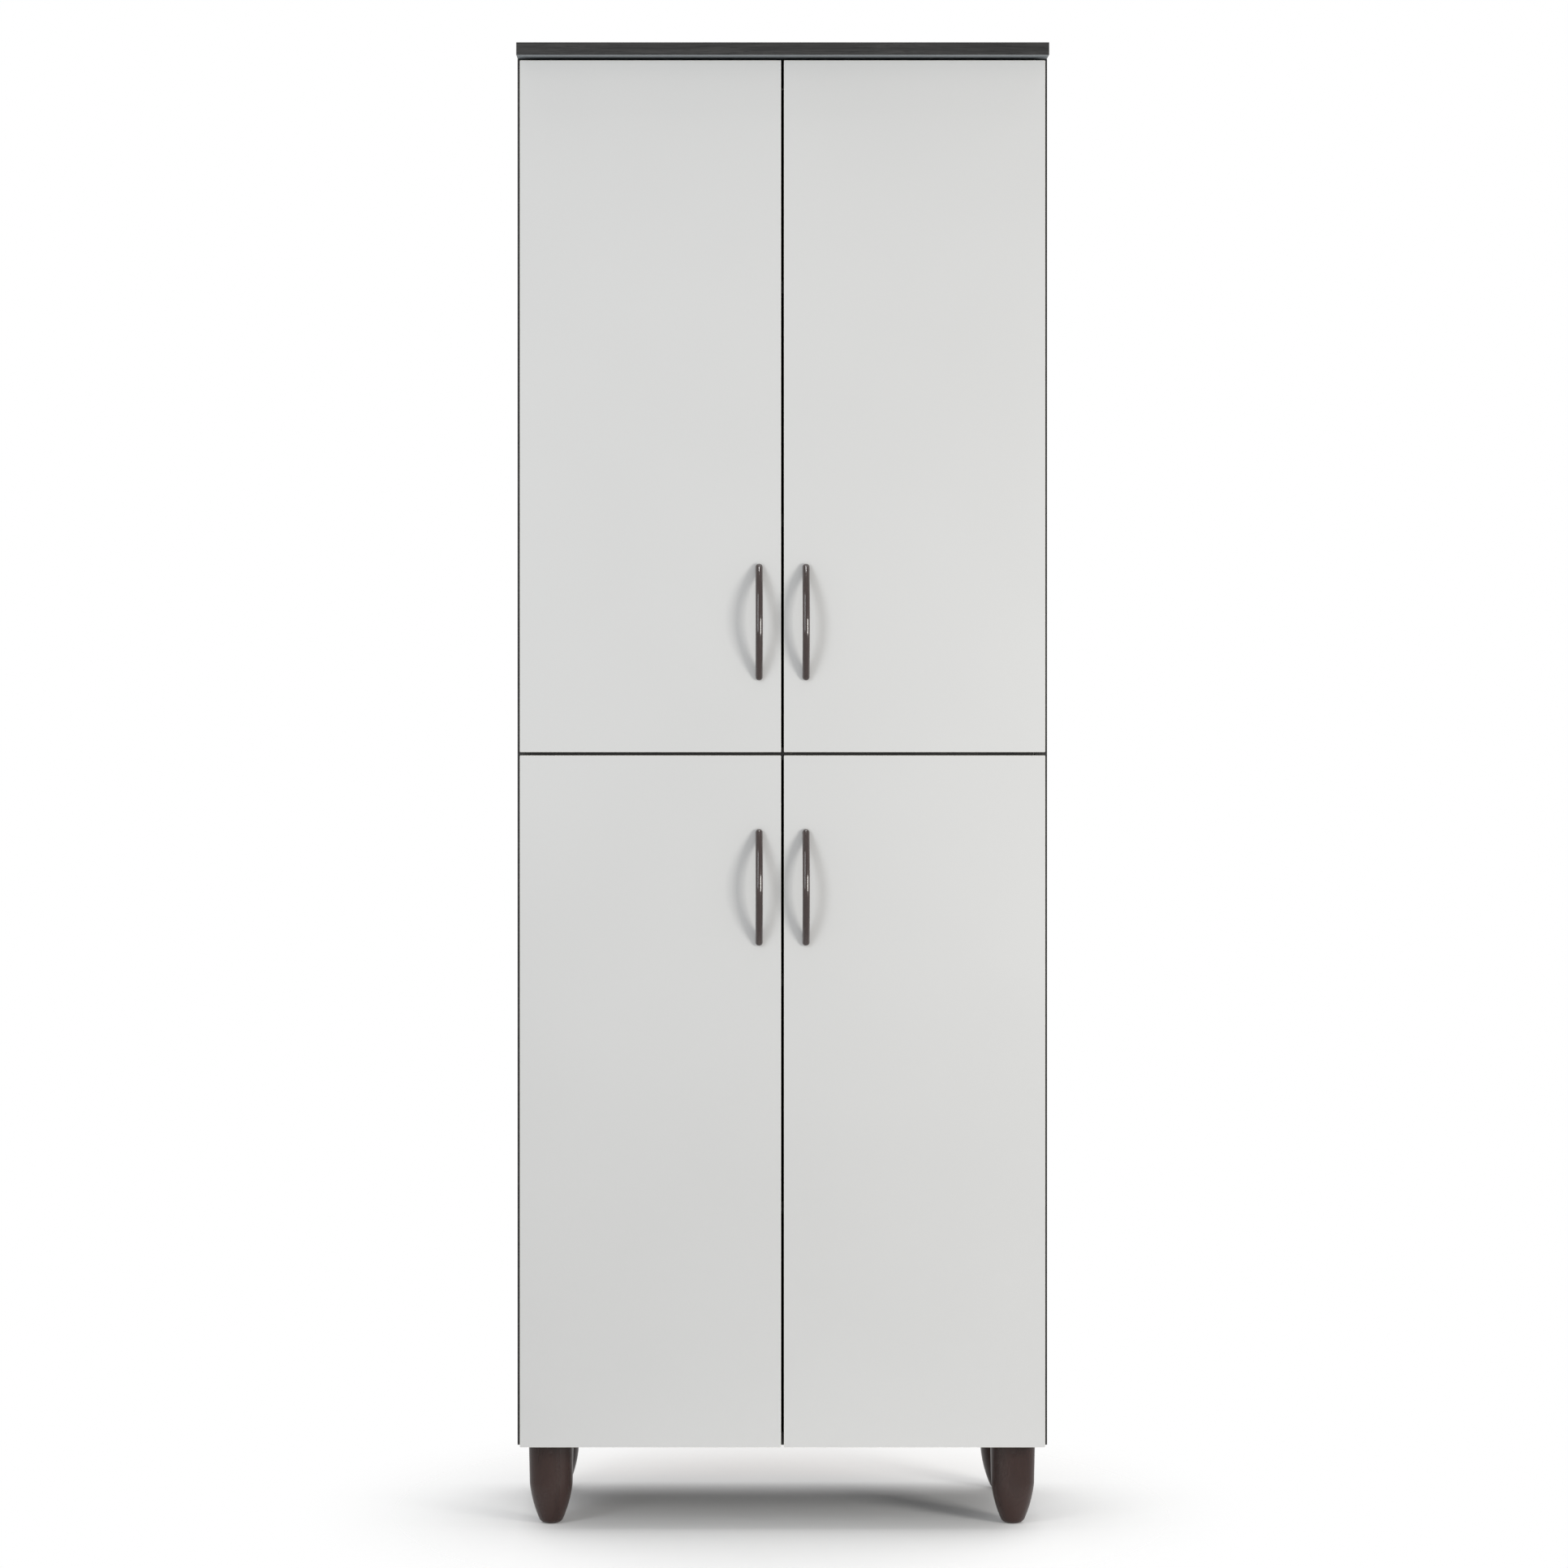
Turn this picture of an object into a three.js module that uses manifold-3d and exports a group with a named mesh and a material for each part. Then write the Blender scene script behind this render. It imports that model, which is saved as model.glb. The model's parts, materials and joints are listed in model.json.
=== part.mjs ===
// A slim four-door armoire: a board carcass on four round feet, two doors above two doors,
// each door on two concealed cup hinges and with one bow handle.
// Millimetres, +Z up, front towards -Y. The origin is on the floor, in the middle of the width and depth.
import * as THREE from 'three';
import { mergeVertices } from 'three/addons/utils/BufferGeometryUtils.js';
import Module from 'manifold-3d';

const wasm = await Module();
wasm.setup();

// ---- Carcass ----
const WIDTH = 635;
const HEIGHT = 1777;
const BODY_DEPTH = 306;
const BOARD = 15;
const FOOT_HEIGHT = 100;
const TOP_OVERHANG = 20; // the top board past the doors' faces
const SEAT_GAP = 0.3; // between pieces that touch

// ---- Doors ----
const DOOR_THICKNESS = 15;
const DOOR_STANDOFF = 2.5; // the door's rear face to the carcass's front edge
const TOP_REVEAL = 4; // the upper doors to the top board
const ROW_GAP = 4; // the upper doors to the lower doors
const PAIR_GAP = 3.5; // a left door to a right door
const SIDE_REVEAL = 3.5; // a door's outer edge to the side panel's outer face

// ---- Shelves and peg holes ----
const SHELVES_PER_BAY = 2;
const SHELF_SIDE_CLEARANCE = 1;
const SHELF_SETBACK = 24;
const SHELF_REAR_CLEARANCE = 6;
const PEG_RADIUS = 2.5;
const PEG_HOLE_DEPTH = 10;
const PEG_PITCH = 32;
const PEG_SPARE_HOLES = 1; // above and below the hole in use
const PEG_INSET_FRONT = 61;
const PEG_INSET_REAR = 37;
const PEG_SIDES = 8;

// ---- Back boards ----
const BACK_THICKNESS = 3;
const BACK_INSET = 2; // from the outer faces of the sides and the underside of the bottom
const STRIP_WEB = 1.2;
const STRIP_FLANGE = 9;
const STRIP_SKIN = 1;

// ---- Feet ----
const FOOT_RADIUS = 27;
const FOOT_WAIST_RADIUS = 25.9;
const FOOT_WAIST_HEIGHT = 48;
const FOOT_SOLE_RADIUS = 8;
const FOOT_SOLE_PULL = [12.2, 0.96]; // radius and height that bend the curve from the sole to the toe
const FOOT_TOE = [14.4, 4.8]; // radius and height where the sole's curve meets the taper
const FOOT_TAPER_PULL = [23.6, 25.9]; // radius and height that bend the curve from the toe to the waist
const FOOT_INSET = 39;
const FOOT_RIM = 3;
const PLATE_THICKNESS = 4;
const SPIGOT_RADIUS = 8;
const SPIGOT_LENGTH = 26;
const SPIGOT_FIT = 0.3;
const FOOT_SIDES = 24;
const FOOT_SOLE_STEPS = 3;
const FOOT_TAPER_STEPS = 7;

// ---- Handles ----
const HANDLE_ROD_RADIUS = 4.4;
const HANDLE_ARC_HALF = 69; // where the rod's arc would meet the door
const HANDLE_END_HALF = 65.4; // the middle of a round end, from the handle's middle
const HANDLE_PROJECTION = 28;
const HANDLE_FROM_EDGE = 26.25; // the rod's middle to the door's meeting edge
const LOWER_HANDLE_DROP = 157.5; // the lower doors' upper ends down to their handles' middles
const UPPER_HANDLE_RISE = 155.5; // the upper doors' lower ends up to their handles' middles
const HANDLE_SIDES = 6;
const HANDLE_STEPS = 20;

// ---- Hinges ----
// In plan, u runs inward from the side panel's outer face and v runs back from the carcass's front edge.
// The linkage is laid out from the door: s runs inward from its outer edge and w back from its rear face.
const HINGE_FROM_END = 100;
const CUP_EDGE = 4; // the cup's recess to the door's outer edge
const CUP_RADIUS = 17.5;
const CUP_DEPTH = 11.5;
const CUP_WALL = 1;
const CUP_FIT = 0.25;
const CUP_EAR_HALF_LENGTH = 31;
const CUP_EAR_HALF_WIDTH = 8;
const CUP_SIDES = 24;
const PIN_RADIUS = 1.4;
const PIN_FIT = 0.25;
const PIN_SIDES = 8;
const EYE_SIDES = 12;
const EYE_RADIUS = 2.5;
const OUTER_PIN = [22.4, 9.5];
const OUTER_EYE = [8.7, -4.94];
const OUTER_HOOK = [[17.6, -10.4], [17.9, -9]];
const INNER_PIN = [33.1, -7.1];
const INNER_EYE = [15.47, -4.29];
const INNER_BOW = [[27.2, -6.2], [21.3, -5.2]];
const LINK_HALF_THICKNESS = 1.1;
const LINK_STEPS = 6;
const INNER_HALF_WIDTH = 2.6;
const LAYER_GAP = 0.4;
const CHEEK = 1.6;
const ARM_LENGTH = 58;
const ARM_START = 12;
const ARM_HEIGHT = 12;
const ARM_PLATE = 2;
const ARM_PLATE_HALF_HEIGHT = 24;
const ARM_PLATE_LENGTH = 30;
const ARM_NOSE_CORNER = 1.9; // a pin to the cut corners of the metal round it
const ARM_NOSE_DIP = 1; // the edge between the pins falls behind the inner pin's corner

// ---- Worked-out places ----
const HALF_WIDTH = WIDTH / 2;
const TOP_UNDERSIDE = HEIGHT - BOARD;
const DOOR_FACE_V = -(DOOR_STANDOFF + DOOR_THICKNESS);
const TOP_FRONT_V = DOOR_FACE_V - TOP_OVERHANG;
const HANDLE_FRONT_V = DOOR_FACE_V - HANDLE_PROJECTION;
const BACK_FRONT_V = BODY_DEPTH + SEAT_GAP;
const REAR_V = BACK_FRONT_V + BACK_THICKNESS + SEAT_GAP + STRIP_SKIN;
const FRONT_Y = -(Math.min(TOP_FRONT_V, HANDLE_FRONT_V) + REAR_V) / 2;
const DOOR_LOW = FOOT_HEIGHT;
const DOOR_HIGH = TOP_UNDERSIDE - TOP_REVEAL;
const DOOR_HEIGHT = (DOOR_HIGH - DOOR_LOW - ROW_GAP) / 2;
const MIDDLE_Z = DOOR_LOW + DOOR_HEIGHT + ROW_GAP / 2;
const MIDDLE_LOW = MIDDLE_Z - BOARD / 2;
const MIDDLE_HIGH = MIDDLE_Z + BOARD / 2;
const BAY_FLOOR = FOOT_HEIGHT + BOARD;
const INNER_HALF = HALF_WIDTH - BOARD;
const PANEL_HALF = INNER_HALF - SEAT_GAP;
const SHELF_HALF = INNER_HALF - SHELF_SIDE_CLEARANCE;

// ---- Materials ----
const material = (color, roughness, metalness = 0) =>
  new THREE.MeshStandardMaterial({ color, roughness, metalness });
const WENGE = () => material(0x34302f, 0.55);
const WHITE_BOARD = () => material(0xdededd, 0.45);
const HARDBOARD = () => material(0x6e5643, 0.8);
const DARK_PLASTIC = () => material(0x453b38, 0.45);
const GREY_PLASTIC = () => material(0x2c2b2b, 0.5);
const BROWN_LACQUER = () => material(0x4b3a37, 0.25, 0.1);
const NICKEL = () => material(0xb9b7b2, 0.3, 1);

// ---- Solid building ----
const SEAM_TOLERANCE = 1e-4;
const armoire = new THREE.Group();
armoire.name = 'armoire';

// A closed mesh as a manifold solid, with its seams merged by position alone.
function solid(geometry) {
  const bare = geometry.index ? geometry.toNonIndexed() : geometry.clone();
  bare.deleteAttribute('normal');
  bare.deleteAttribute('uv');
  const merged = mergeVertices(bare, SEAM_TOLERANCE);
  const numbers = new wasm.Mesh({
    numProp: 3,
    vertProperties: new Float32Array(merged.attributes.position.array),
    triVerts: new Uint32Array(merged.index.array),
  });
  return new wasm.Manifold(numbers);
}

function geometryOf(body) {
  const numbers = body.getMesh();
  const geometry = new THREE.BufferGeometry();
  geometry.setAttribute('position', new THREE.BufferAttribute(numbers.vertProperties, 3));
  geometry.setIndex(new THREE.BufferAttribute(numbers.triVerts, 1));
  geometry.computeVertexNormals();
  return geometry;
}

const join = (...bodies) => bodies.reduce((sum, body) => sum.add(body));
const cut = (body, ...tools) => tools.reduce((rest, tool) => rest.subtract(tool), body);

function add(name, geometry, look) {
  const mesh = new THREE.Mesh(geometry, look);
  mesh.name = name;
  armoire.add(mesh);
}

// A box between two corners, the depth given as v. The two x may come in either order.
function block(x0, x1, v0, v1, z0, z1) {
  const geometry = new THREE.BoxGeometry(Math.abs(x1 - x0), v1 - v0, z1 - z0);
  geometry.translate((x0 + x1) / 2, FRONT_Y + (v0 + v1) / 2, (z0 + z1) / 2);
  return geometry;
}

// A cylinder centred on a point, its axis along X, Y or Z.
function rod(axis, radius, length, sides, [x, y, z]) {
  const geometry = new THREE.CylinderGeometry(radius, radius, length, sides);
  if (axis === 'x') geometry.rotateZ(Math.PI / 2);
  if (axis === 'z') geometry.rotateX(Math.PI / 2);
  geometry.translate(x, y, z);
  return geometry;
}

// An outline in plan, extruded upward from z0 to z1.
function slab(points, z0, z1) {
  const outline = new THREE.Shape(points.map(([x, y]) => new THREE.Vector2(x, y)));
  const geometry = new THREE.ExtrudeGeometry(outline, { depth: z1 - z0, bevelEnabled: false });
  geometry.translate(0, 0, z0);
  return geometry;
}

// ---- Carcass ----

// The undersides of the evenly spaced shelves between a bay's floor and its ceiling.
function shelfHeights(floor, ceiling) {
  const opening = (ceiling - floor - SHELVES_PER_BAY * BOARD) / (SHELVES_PER_BAY + 1);
  return Array.from({ length: SHELVES_PER_BAY }, (_, i) => floor + opening + i * (opening + BOARD));
}

const LOWER_SHELVES = shelfHeights(BAY_FLOOR, MIDDLE_LOW);
const UPPER_SHELVES = shelfHeights(MIDDLE_HIGH, TOP_UNDERSIDE);

function sidePanel(name, side) {
  const inner = side * INNER_HALF;
  const board = block(inner, side * HALF_WIDTH, 0, BODY_DEPTH, FOOT_HEIGHT, TOP_UNDERSIDE - SEAT_GAP);
  const holes = [];
  for (const underside of [...LOWER_SHELVES, ...UPPER_SHELVES]) {
    for (const v of [PEG_INSET_FRONT, BODY_DEPTH - PEG_INSET_REAR]) {
      for (let step = -PEG_SPARE_HOLES; step <= PEG_SPARE_HOLES; step += 1) {
        const centre = [inner, FRONT_Y + v, underside - PEG_RADIUS + step * PEG_PITCH];
        holes.push(solid(rod('x', PEG_RADIUS, 2 * PEG_HOLE_DEPTH, PEG_SIDES, centre)));
      }
    }
  }
  add(name, geometryOf(cut(solid(board), ...holes)), WENGE());
}

function carcass() {
  sidePanel('left_side_panel', -1);
  sidePanel('right_side_panel', 1);
  add('top_panel', block(-HALF_WIDTH, HALF_WIDTH, TOP_FRONT_V, REAR_V, TOP_UNDERSIDE, HEIGHT), WENGE());
  add('bottom_panel', block(-PANEL_HALF, PANEL_HALF, 0, BODY_DEPTH, FOOT_HEIGHT, BAY_FLOOR), WENGE());
  const middleRear = BACK_FRONT_V - STRIP_SKIN - 2 * SEAT_GAP;
  add('middle_panel', block(-PANEL_HALF, PANEL_HALF, 0, middleRear, MIDDLE_LOW, MIDDLE_HIGH), WENGE());
  const shelf = (z) => {
    const low = z + SEAT_GAP;
    return block(-SHELF_HALF, SHELF_HALF, SHELF_SETBACK, BODY_DEPTH - SHELF_REAR_CLEARANCE, low, low + BOARD);
  };
  LOWER_SHELVES.forEach((z, i) => add(`lower_shelf_${i + 1}`, shelf(z), WENGE()));
  UPPER_SHELVES.forEach((z, i) => add(`upper_shelf_${i + 1}`, shelf(z), WENGE()));
}

function back() {
  const half = HALF_WIDTH - BACK_INSET;
  const rear = BACK_FRONT_V + BACK_THICKNESS;
  const seam = STRIP_WEB / 2 + SEAT_GAP;
  const low = FOOT_HEIGHT + BACK_INSET;
  const high = TOP_UNDERSIDE - SEAT_GAP;
  add('lower_back_panel', block(-half, half, BACK_FRONT_V, rear, low, MIDDLE_Z - seam), HARDBOARD());
  add('upper_back_panel', block(-half, half, BACK_FRONT_V, rear, MIDDLE_Z + seam, high), HARDBOARD());
  const innerSkin = BACK_FRONT_V - SEAT_GAP - STRIP_SKIN;
  const strip = (v0, v1, rise) =>
    solid(block(-PANEL_HALF, PANEL_HALF, v0, v1, MIDDLE_Z - rise, MIDDLE_Z + rise));
  const profile = join(
    strip(innerSkin, innerSkin + STRIP_SKIN, STRIP_FLANGE),
    strip(REAR_V - STRIP_SKIN, REAR_V, STRIP_FLANGE),
    strip(innerSkin, REAR_V, STRIP_WEB / 2),
  );
  add('back_joining_strip', geometryOf(profile), GREY_PLASTIC());
}

// ---- Feet ----
const lathe = (points, x, v) => {
  const geometry = new THREE.LatheGeometry(points.map(([r, z]) => new THREE.Vector2(r, z)), FOOT_SIDES);
  geometry.rotateX(Math.PI / 2);
  geometry.translate(x, FRONT_Y + v, 0);
  return geometry;
};

function foot(name, x, v) {
  const top = FOOT_HEIGHT - SEAT_GAP;
  const socket = FOOT_RADIUS - FOOT_RIM;
  const socketFloor = top - PLATE_THICKNESS - SPIGOT_FIT;
  const boreFloor = socketFloor - SPIGOT_LENGTH - SPIGOT_FIT;
  const bore = SPIGOT_RADIUS + SPIGOT_FIT;
  const bend = (start, pull, end, steps) => {
    const places = [start, pull, end].map(([r, z]) => new THREE.Vector2(r, z));
    return new THREE.QuadraticBezierCurve(...places).getPoints(steps).map((place) => [place.x, place.y]);
  };
  const sole = bend([FOOT_SOLE_RADIUS, 0], FOOT_SOLE_PULL, FOOT_TOE, FOOT_SOLE_STEPS);
  const taper = bend(FOOT_TOE, FOOT_TAPER_PULL, [FOOT_WAIST_RADIUS, FOOT_WAIST_HEIGHT], FOOT_TAPER_STEPS);
  const profile = [
    [0, 0],
    ...sole,
    ...taper.slice(1),
    [FOOT_RADIUS, top],
    [socket, top],
    [socket, socketFloor],
    [bore, socketFloor],
    [bore, boreFloor],
    [0, boreFloor],
  ];
  add(name, lathe(profile, x, v), DARK_PLASTIC());
}

function footPlate(name, x, v) {
  const top = FOOT_HEIGHT - SEAT_GAP;
  const low = top - PLATE_THICKNESS;
  const tip = low - SPIGOT_LENGTH;
  const edge = FOOT_RADIUS - FOOT_RIM - SPIGOT_FIT;
  const spigot = [[0, tip], [SPIGOT_RADIUS, tip], [SPIGOT_RADIUS, low]];
  add(name, lathe([...spigot, [edge, low], [edge, top], [0, top]], x, v), GREY_PLASTIC());
}

function feet() {
  for (const [row, v] of [['front', FOOT_INSET], ['rear', BODY_DEPTH - FOOT_INSET]]) {
    for (const [hand, side] of [['left', -1], ['right', 1]]) {
      const x = side * (HALF_WIDTH - FOOT_INSET);
      foot(`${row}_${hand}_foot`, x, v);
      footPlate(`${row}_${hand}_foot_plate`, x, v);
    }
  }
}

// ---- Doors and handles ----
function door(name, side, low) {
  const meeting = side * PAIR_GAP / 2;
  const outer = side * (HALF_WIDTH - SIDE_REVEAL);
  const leaf = block(meeting, outer, DOOR_FACE_V, -DOOR_STANDOFF, low, low + DOOR_HEIGHT);
  const recess = (z) => solid(rod('y', CUP_RADIUS, 2 * CUP_DEPTH, CUP_SIDES, cupCentre(side, z)));
  const recesses = hingeHeights(low).map(recess);
  add(name, geometryOf(cut(solid(leaf), ...recesses)), WHITE_BOARD());
}

// A round-ended rod bent to a shallow arc, flat where its ends stand on the door.
function handle(name, side, middle) {
  const x = side * (PAIR_GAP / 2 + HANDLE_FROM_EDGE);
  const face = FRONT_Y + DOOR_FACE_V;
  const rise = HANDLE_PROJECTION - HANDLE_ROD_RADIUS;
  const reach = HANDLE_END_HALF + 2 * HANDLE_ROD_RADIUS;
  const onArc = (z) => new THREE.Vector3(x, face - rise * (1 - (z / HANDLE_ARC_HALF) ** 2), middle + z);
  const station = (_, i) => onArc(HANDLE_END_HALF * ((2 * i) / HANDLE_STEPS - 1));
  const path = new THREE.CatmullRomCurve3(Array.from({ length: HANDLE_STEPS + 1 }, station));
  const section = new THREE.Shape();
  section.absarc(0, 0, HANDLE_ROD_RADIUS, 0, 2 * Math.PI);
  const bow = new THREE.ExtrudeGeometry(section, {
    steps: HANDLE_STEPS,
    curveSegments: HANDLE_SIDES,
    bevelEnabled: false,
    extrudePath: path,
  });
  const ends = [-HANDLE_END_HALF, HANDLE_END_HALF].map((z) => {
    const ball = new THREE.SphereGeometry(HANDLE_ROD_RADIUS, 2 * HANDLE_SIDES, HANDLE_SIDES);
    ball.rotateX(Math.PI / 2);
    ball.translate(...onArc(z));
    return solid(ball);
  });
  const seat = DOOR_FACE_V - SEAT_GAP;
  const room = block(x - reach, x + reach, HANDLE_FRONT_V - reach, seat, middle - reach, middle + reach);
  add(name, geometryOf(join(solid(bow), ...ends).intersect(solid(room))), BROWN_LACQUER());
}

// ---- Hinges ----
const hingeHeights = (low) => [low + HINGE_FROM_END, low + DOOR_HEIGHT - HINGE_FROM_END];
const planPoint = (side, [u, v]) => [side * (HALF_WIDTH - u), FRONT_Y + v];
const fromDoor = ([s, w]) => [s + SIDE_REVEAL, w - DOOR_STANDOFF];
const hingePoint = (side, place) => planPoint(side, fromDoor(place));
const CUP_U = SIDE_REVEAL + CUP_EDGE + CUP_RADIUS;
const CUP_LAYER = INNER_HALF_WIDTH + LAYER_GAP + CHEEK;
const ARM_INSIDE = CUP_LAYER + LAYER_GAP;
const ARM_OUTSIDE = ARM_INSIDE + CHEEK;

function cupCentre(side, z) {
  const [x, y] = planPoint(side, [CUP_U, -DOOR_STANDOFF]);
  return [x, y, z];
}

const upright = (side, place, radius, half, z, sides = PIN_SIDES) =>
  solid(rod('z', radius, 2 * half, sides, [...hingePoint(side, place), z]));

// A plate that follows a curve in plan, as tall as the layer from z0 to z1.
function ribbon(side, start, [a, b], end, z0, z1) {
  const at = ([u, v]) => new THREE.Vector2(u, v);
  const curve = new THREE.CubicBezierCurve(at(start), at(a), at(b), at(end));
  const left = [];
  const right = [];
  for (let i = 0; i <= LINK_STEPS; i += 1) {
    const point = curve.getPoint(i / LINK_STEPS);
    const along = curve.getTangent(i / LINK_STEPS);
    left.push([point.x - along.y * LINK_HALF_THICKNESS, point.y + along.x * LINK_HALF_THICKNESS]);
    right.unshift([point.x + along.y * LINK_HALF_THICKNESS, point.y - along.x * LINK_HALF_THICKNESS]);
  }
  return solid(slab([...left, ...right].map((place) => hingePoint(side, place)), z0, z1));
}

function hingeCup(name, side, z) {
  const [x, y] = cupCentre(side, z);
  const outside = CUP_RADIUS - CUP_FIT;
  const inside = outside - CUP_WALL;
  const bottom = CUP_DEPTH - SEAT_GAP;
  const lip = SEAT_GAP + CUP_WALL;
  const can = rod('y', outside, bottom + lip, CUP_SIDES, [x, y + (lip - bottom) / 2, z]);
  const hollow = rod('y', inside, 2 * (bottom - CUP_WALL), CUP_SIDES, [x, y, z]);
  const inward = -side * CUP_EAR_HALF_WIDTH;
  const ears = new THREE.BoxGeometry(2 * CUP_EAR_HALF_WIDTH, CUP_WALL, 2 * CUP_EAR_HALF_LENGTH);
  ears.translate(x + inward / 2, y + SEAT_GAP + CUP_WALL / 2, z);
  const shell = cut(join(solid(can), solid(ears)), solid(hollow));
  const pin = upright(side, OUTER_EYE, PIN_RADIUS, CUP_RADIUS, z).intersect(solid(can));
  add(name, geometryOf(join(shell, pin)), NICKEL());
}

function outerLink(name, side, z) {
  const inner = INNER_HALF_WIDTH + LAYER_GAP;
  const cheeks = [[z + inner, z + CUP_LAYER], [z - CUP_LAYER, z - inner]];
  const plates = cheeks.flatMap(([z0, z1]) => [
    ribbon(side, OUTER_PIN, OUTER_HOOK, OUTER_EYE, z0, z1),
    upright(side, OUTER_PIN, EYE_RADIUS, CHEEK / 2, (z0 + z1) / 2, EYE_SIDES),
  ]);
  const tube = upright(side, OUTER_EYE, EYE_RADIUS, CUP_LAYER, z, EYE_SIDES);
  const bore = (place) => upright(side, place, PIN_RADIUS + PIN_FIT, ARM_OUTSIDE, z);
  add(name, geometryOf(cut(join(...plates, tube), bore(OUTER_PIN), bore(OUTER_EYE))), NICKEL());
}

function innerLink(name, side, z) {
  const half = INNER_HALF_WIDTH;
  const plate = ribbon(side, INNER_PIN, INNER_BOW, INNER_EYE, z - half, z + half);
  const eye = upright(side, INNER_PIN, EYE_RADIUS, half, z, EYE_SIDES);
  const tip = upright(side, INNER_EYE, PIN_RADIUS, half, z);
  const bore = upright(side, INNER_PIN, PIN_RADIUS + PIN_FIT, ARM_OUTSIDE, z);
  add(name, geometryOf(cut(join(plate, eye, tip), bore)), NICKEL());
}

// A channel on the mounting plate, with a nose that carries the two fixed pins.
function hingeArm(name, side, z) {
  const foot = BOARD + SEAT_GAP;
  const crest = foot + ARM_HEIGHT;
  const rear = ARM_START + ARM_LENGTH;
  const [outerU, outerV] = fromDoor(OUTER_PIN);
  const [innerU, innerV] = fromDoor(INNER_PIN);
  const outline = [
    [foot, ARM_START],
    [outerU - EYE_RADIUS, outerV],
    [outerU - ARM_NOSE_CORNER, outerV - ARM_NOSE_CORNER],
    [innerU - EYE_RADIUS, innerV - ARM_NOSE_DIP],
    [innerU - ARM_NOSE_CORNER, innerV - ARM_NOSE_CORNER],
    [innerU, innerV - EYE_RADIUS],
    [innerU + ARM_NOSE_CORNER, innerV - ARM_NOSE_CORNER],
    [innerU + EYE_RADIUS, innerV],
    [innerU + ARM_NOSE_CORNER, innerV + ARM_NOSE_CORNER],
    [crest, ARM_START],
    [crest, rear],
    [foot, rear],
  ].map((place) => planPoint(side, place));
  const cheek = (low) => solid(slab(outline, low, low + CHEEK));
  const bar = (u0, u1, v0, v1, half) => {
    const [[x0], [x1]] = [u0, u1].map((u) => planPoint(side, [u, 0]));
    return solid(block(x0, x1, v0, v1, z - half, z + half));
  };
  const web = bar(crest - CHEEK, crest, ARM_START, rear, ARM_OUTSIDE);
  const plateRear = rear - ARM_START;
  const plate = bar(foot, foot + ARM_PLATE, plateRear - ARM_PLATE_LENGTH, plateRear, ARM_PLATE_HALF_HEIGHT);
  const pin = (place) => upright(side, place, PIN_RADIUS, ARM_OUTSIDE - SEAT_GAP, z);
  const cheeks = [cheek(z + ARM_INSIDE), cheek(z - ARM_OUTSIDE)];
  add(name, geometryOf(join(...cheeks, web, plate, pin(OUTER_PIN), pin(INNER_PIN))), NICKEL());
}

function doorSet(row, low, handleZ) {
  for (const [hand, side] of [['left', -1], ['right', 1]]) {
    door(`${row}_${hand}_door`, side, low);
    handle(`${row}_${hand}_handle`, side, handleZ);
    hingeHeights(low).forEach((z, i) => {
      const name = `${row}_${hand}_hinge_${i + 1}`;
      hingeArm(`${name}_arm`, side, z);
      hingeCup(`${name}_cup`, side, z);
      outerLink(`${name}_outer_link`, side, z);
      innerLink(`${name}_inner_link`, side, z);
    });
  }
}

carcass();
back();
feet();
doorSet('lower', DOOR_LOW, DOOR_LOW + DOOR_HEIGHT - LOWER_HANDLE_DROP);
doorSet('upper', DOOR_HIGH - DOOR_HEIGHT, DOOR_HIGH - DOOR_HEIGHT + UPPER_HANDLE_RISE);

export default armoire;
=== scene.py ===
"""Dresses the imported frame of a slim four-door armoire: its boards, doors, feet, handles, hinges and
small fittings."""
import json
import math

import bmesh
import bpy
import numpy as np
from bpy.props import FloatProperty, FloatVectorProperty, IntProperty, PointerProperty
from bpy.types import Operator, Panel, PropertyGroup
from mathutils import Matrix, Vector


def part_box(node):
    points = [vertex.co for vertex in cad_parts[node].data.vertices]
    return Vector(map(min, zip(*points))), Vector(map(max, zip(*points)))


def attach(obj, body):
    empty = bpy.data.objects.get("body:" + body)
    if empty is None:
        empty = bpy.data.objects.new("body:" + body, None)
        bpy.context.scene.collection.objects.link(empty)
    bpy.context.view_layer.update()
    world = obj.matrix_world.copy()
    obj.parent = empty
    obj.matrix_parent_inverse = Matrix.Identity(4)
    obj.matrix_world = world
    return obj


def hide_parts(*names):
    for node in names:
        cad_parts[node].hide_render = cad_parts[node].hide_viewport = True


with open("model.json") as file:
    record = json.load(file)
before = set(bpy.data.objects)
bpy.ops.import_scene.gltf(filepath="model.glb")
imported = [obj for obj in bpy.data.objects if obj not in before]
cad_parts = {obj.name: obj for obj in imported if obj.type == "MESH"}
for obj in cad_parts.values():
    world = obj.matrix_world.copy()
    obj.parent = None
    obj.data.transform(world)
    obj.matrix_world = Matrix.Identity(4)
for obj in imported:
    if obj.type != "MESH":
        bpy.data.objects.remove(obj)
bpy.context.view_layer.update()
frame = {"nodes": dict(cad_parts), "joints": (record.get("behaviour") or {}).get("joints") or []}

bl_info = {
    "name": "Four-Door Armoire",
    "version": (1, 0, 0),
    "blender": (4, 5, 0),
    "location": "View3D > Sidebar > Armoire",
    "description": "Builds the visible pieces of a slim four-door armoire around its frame",
    "category": "Object",
}

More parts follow.
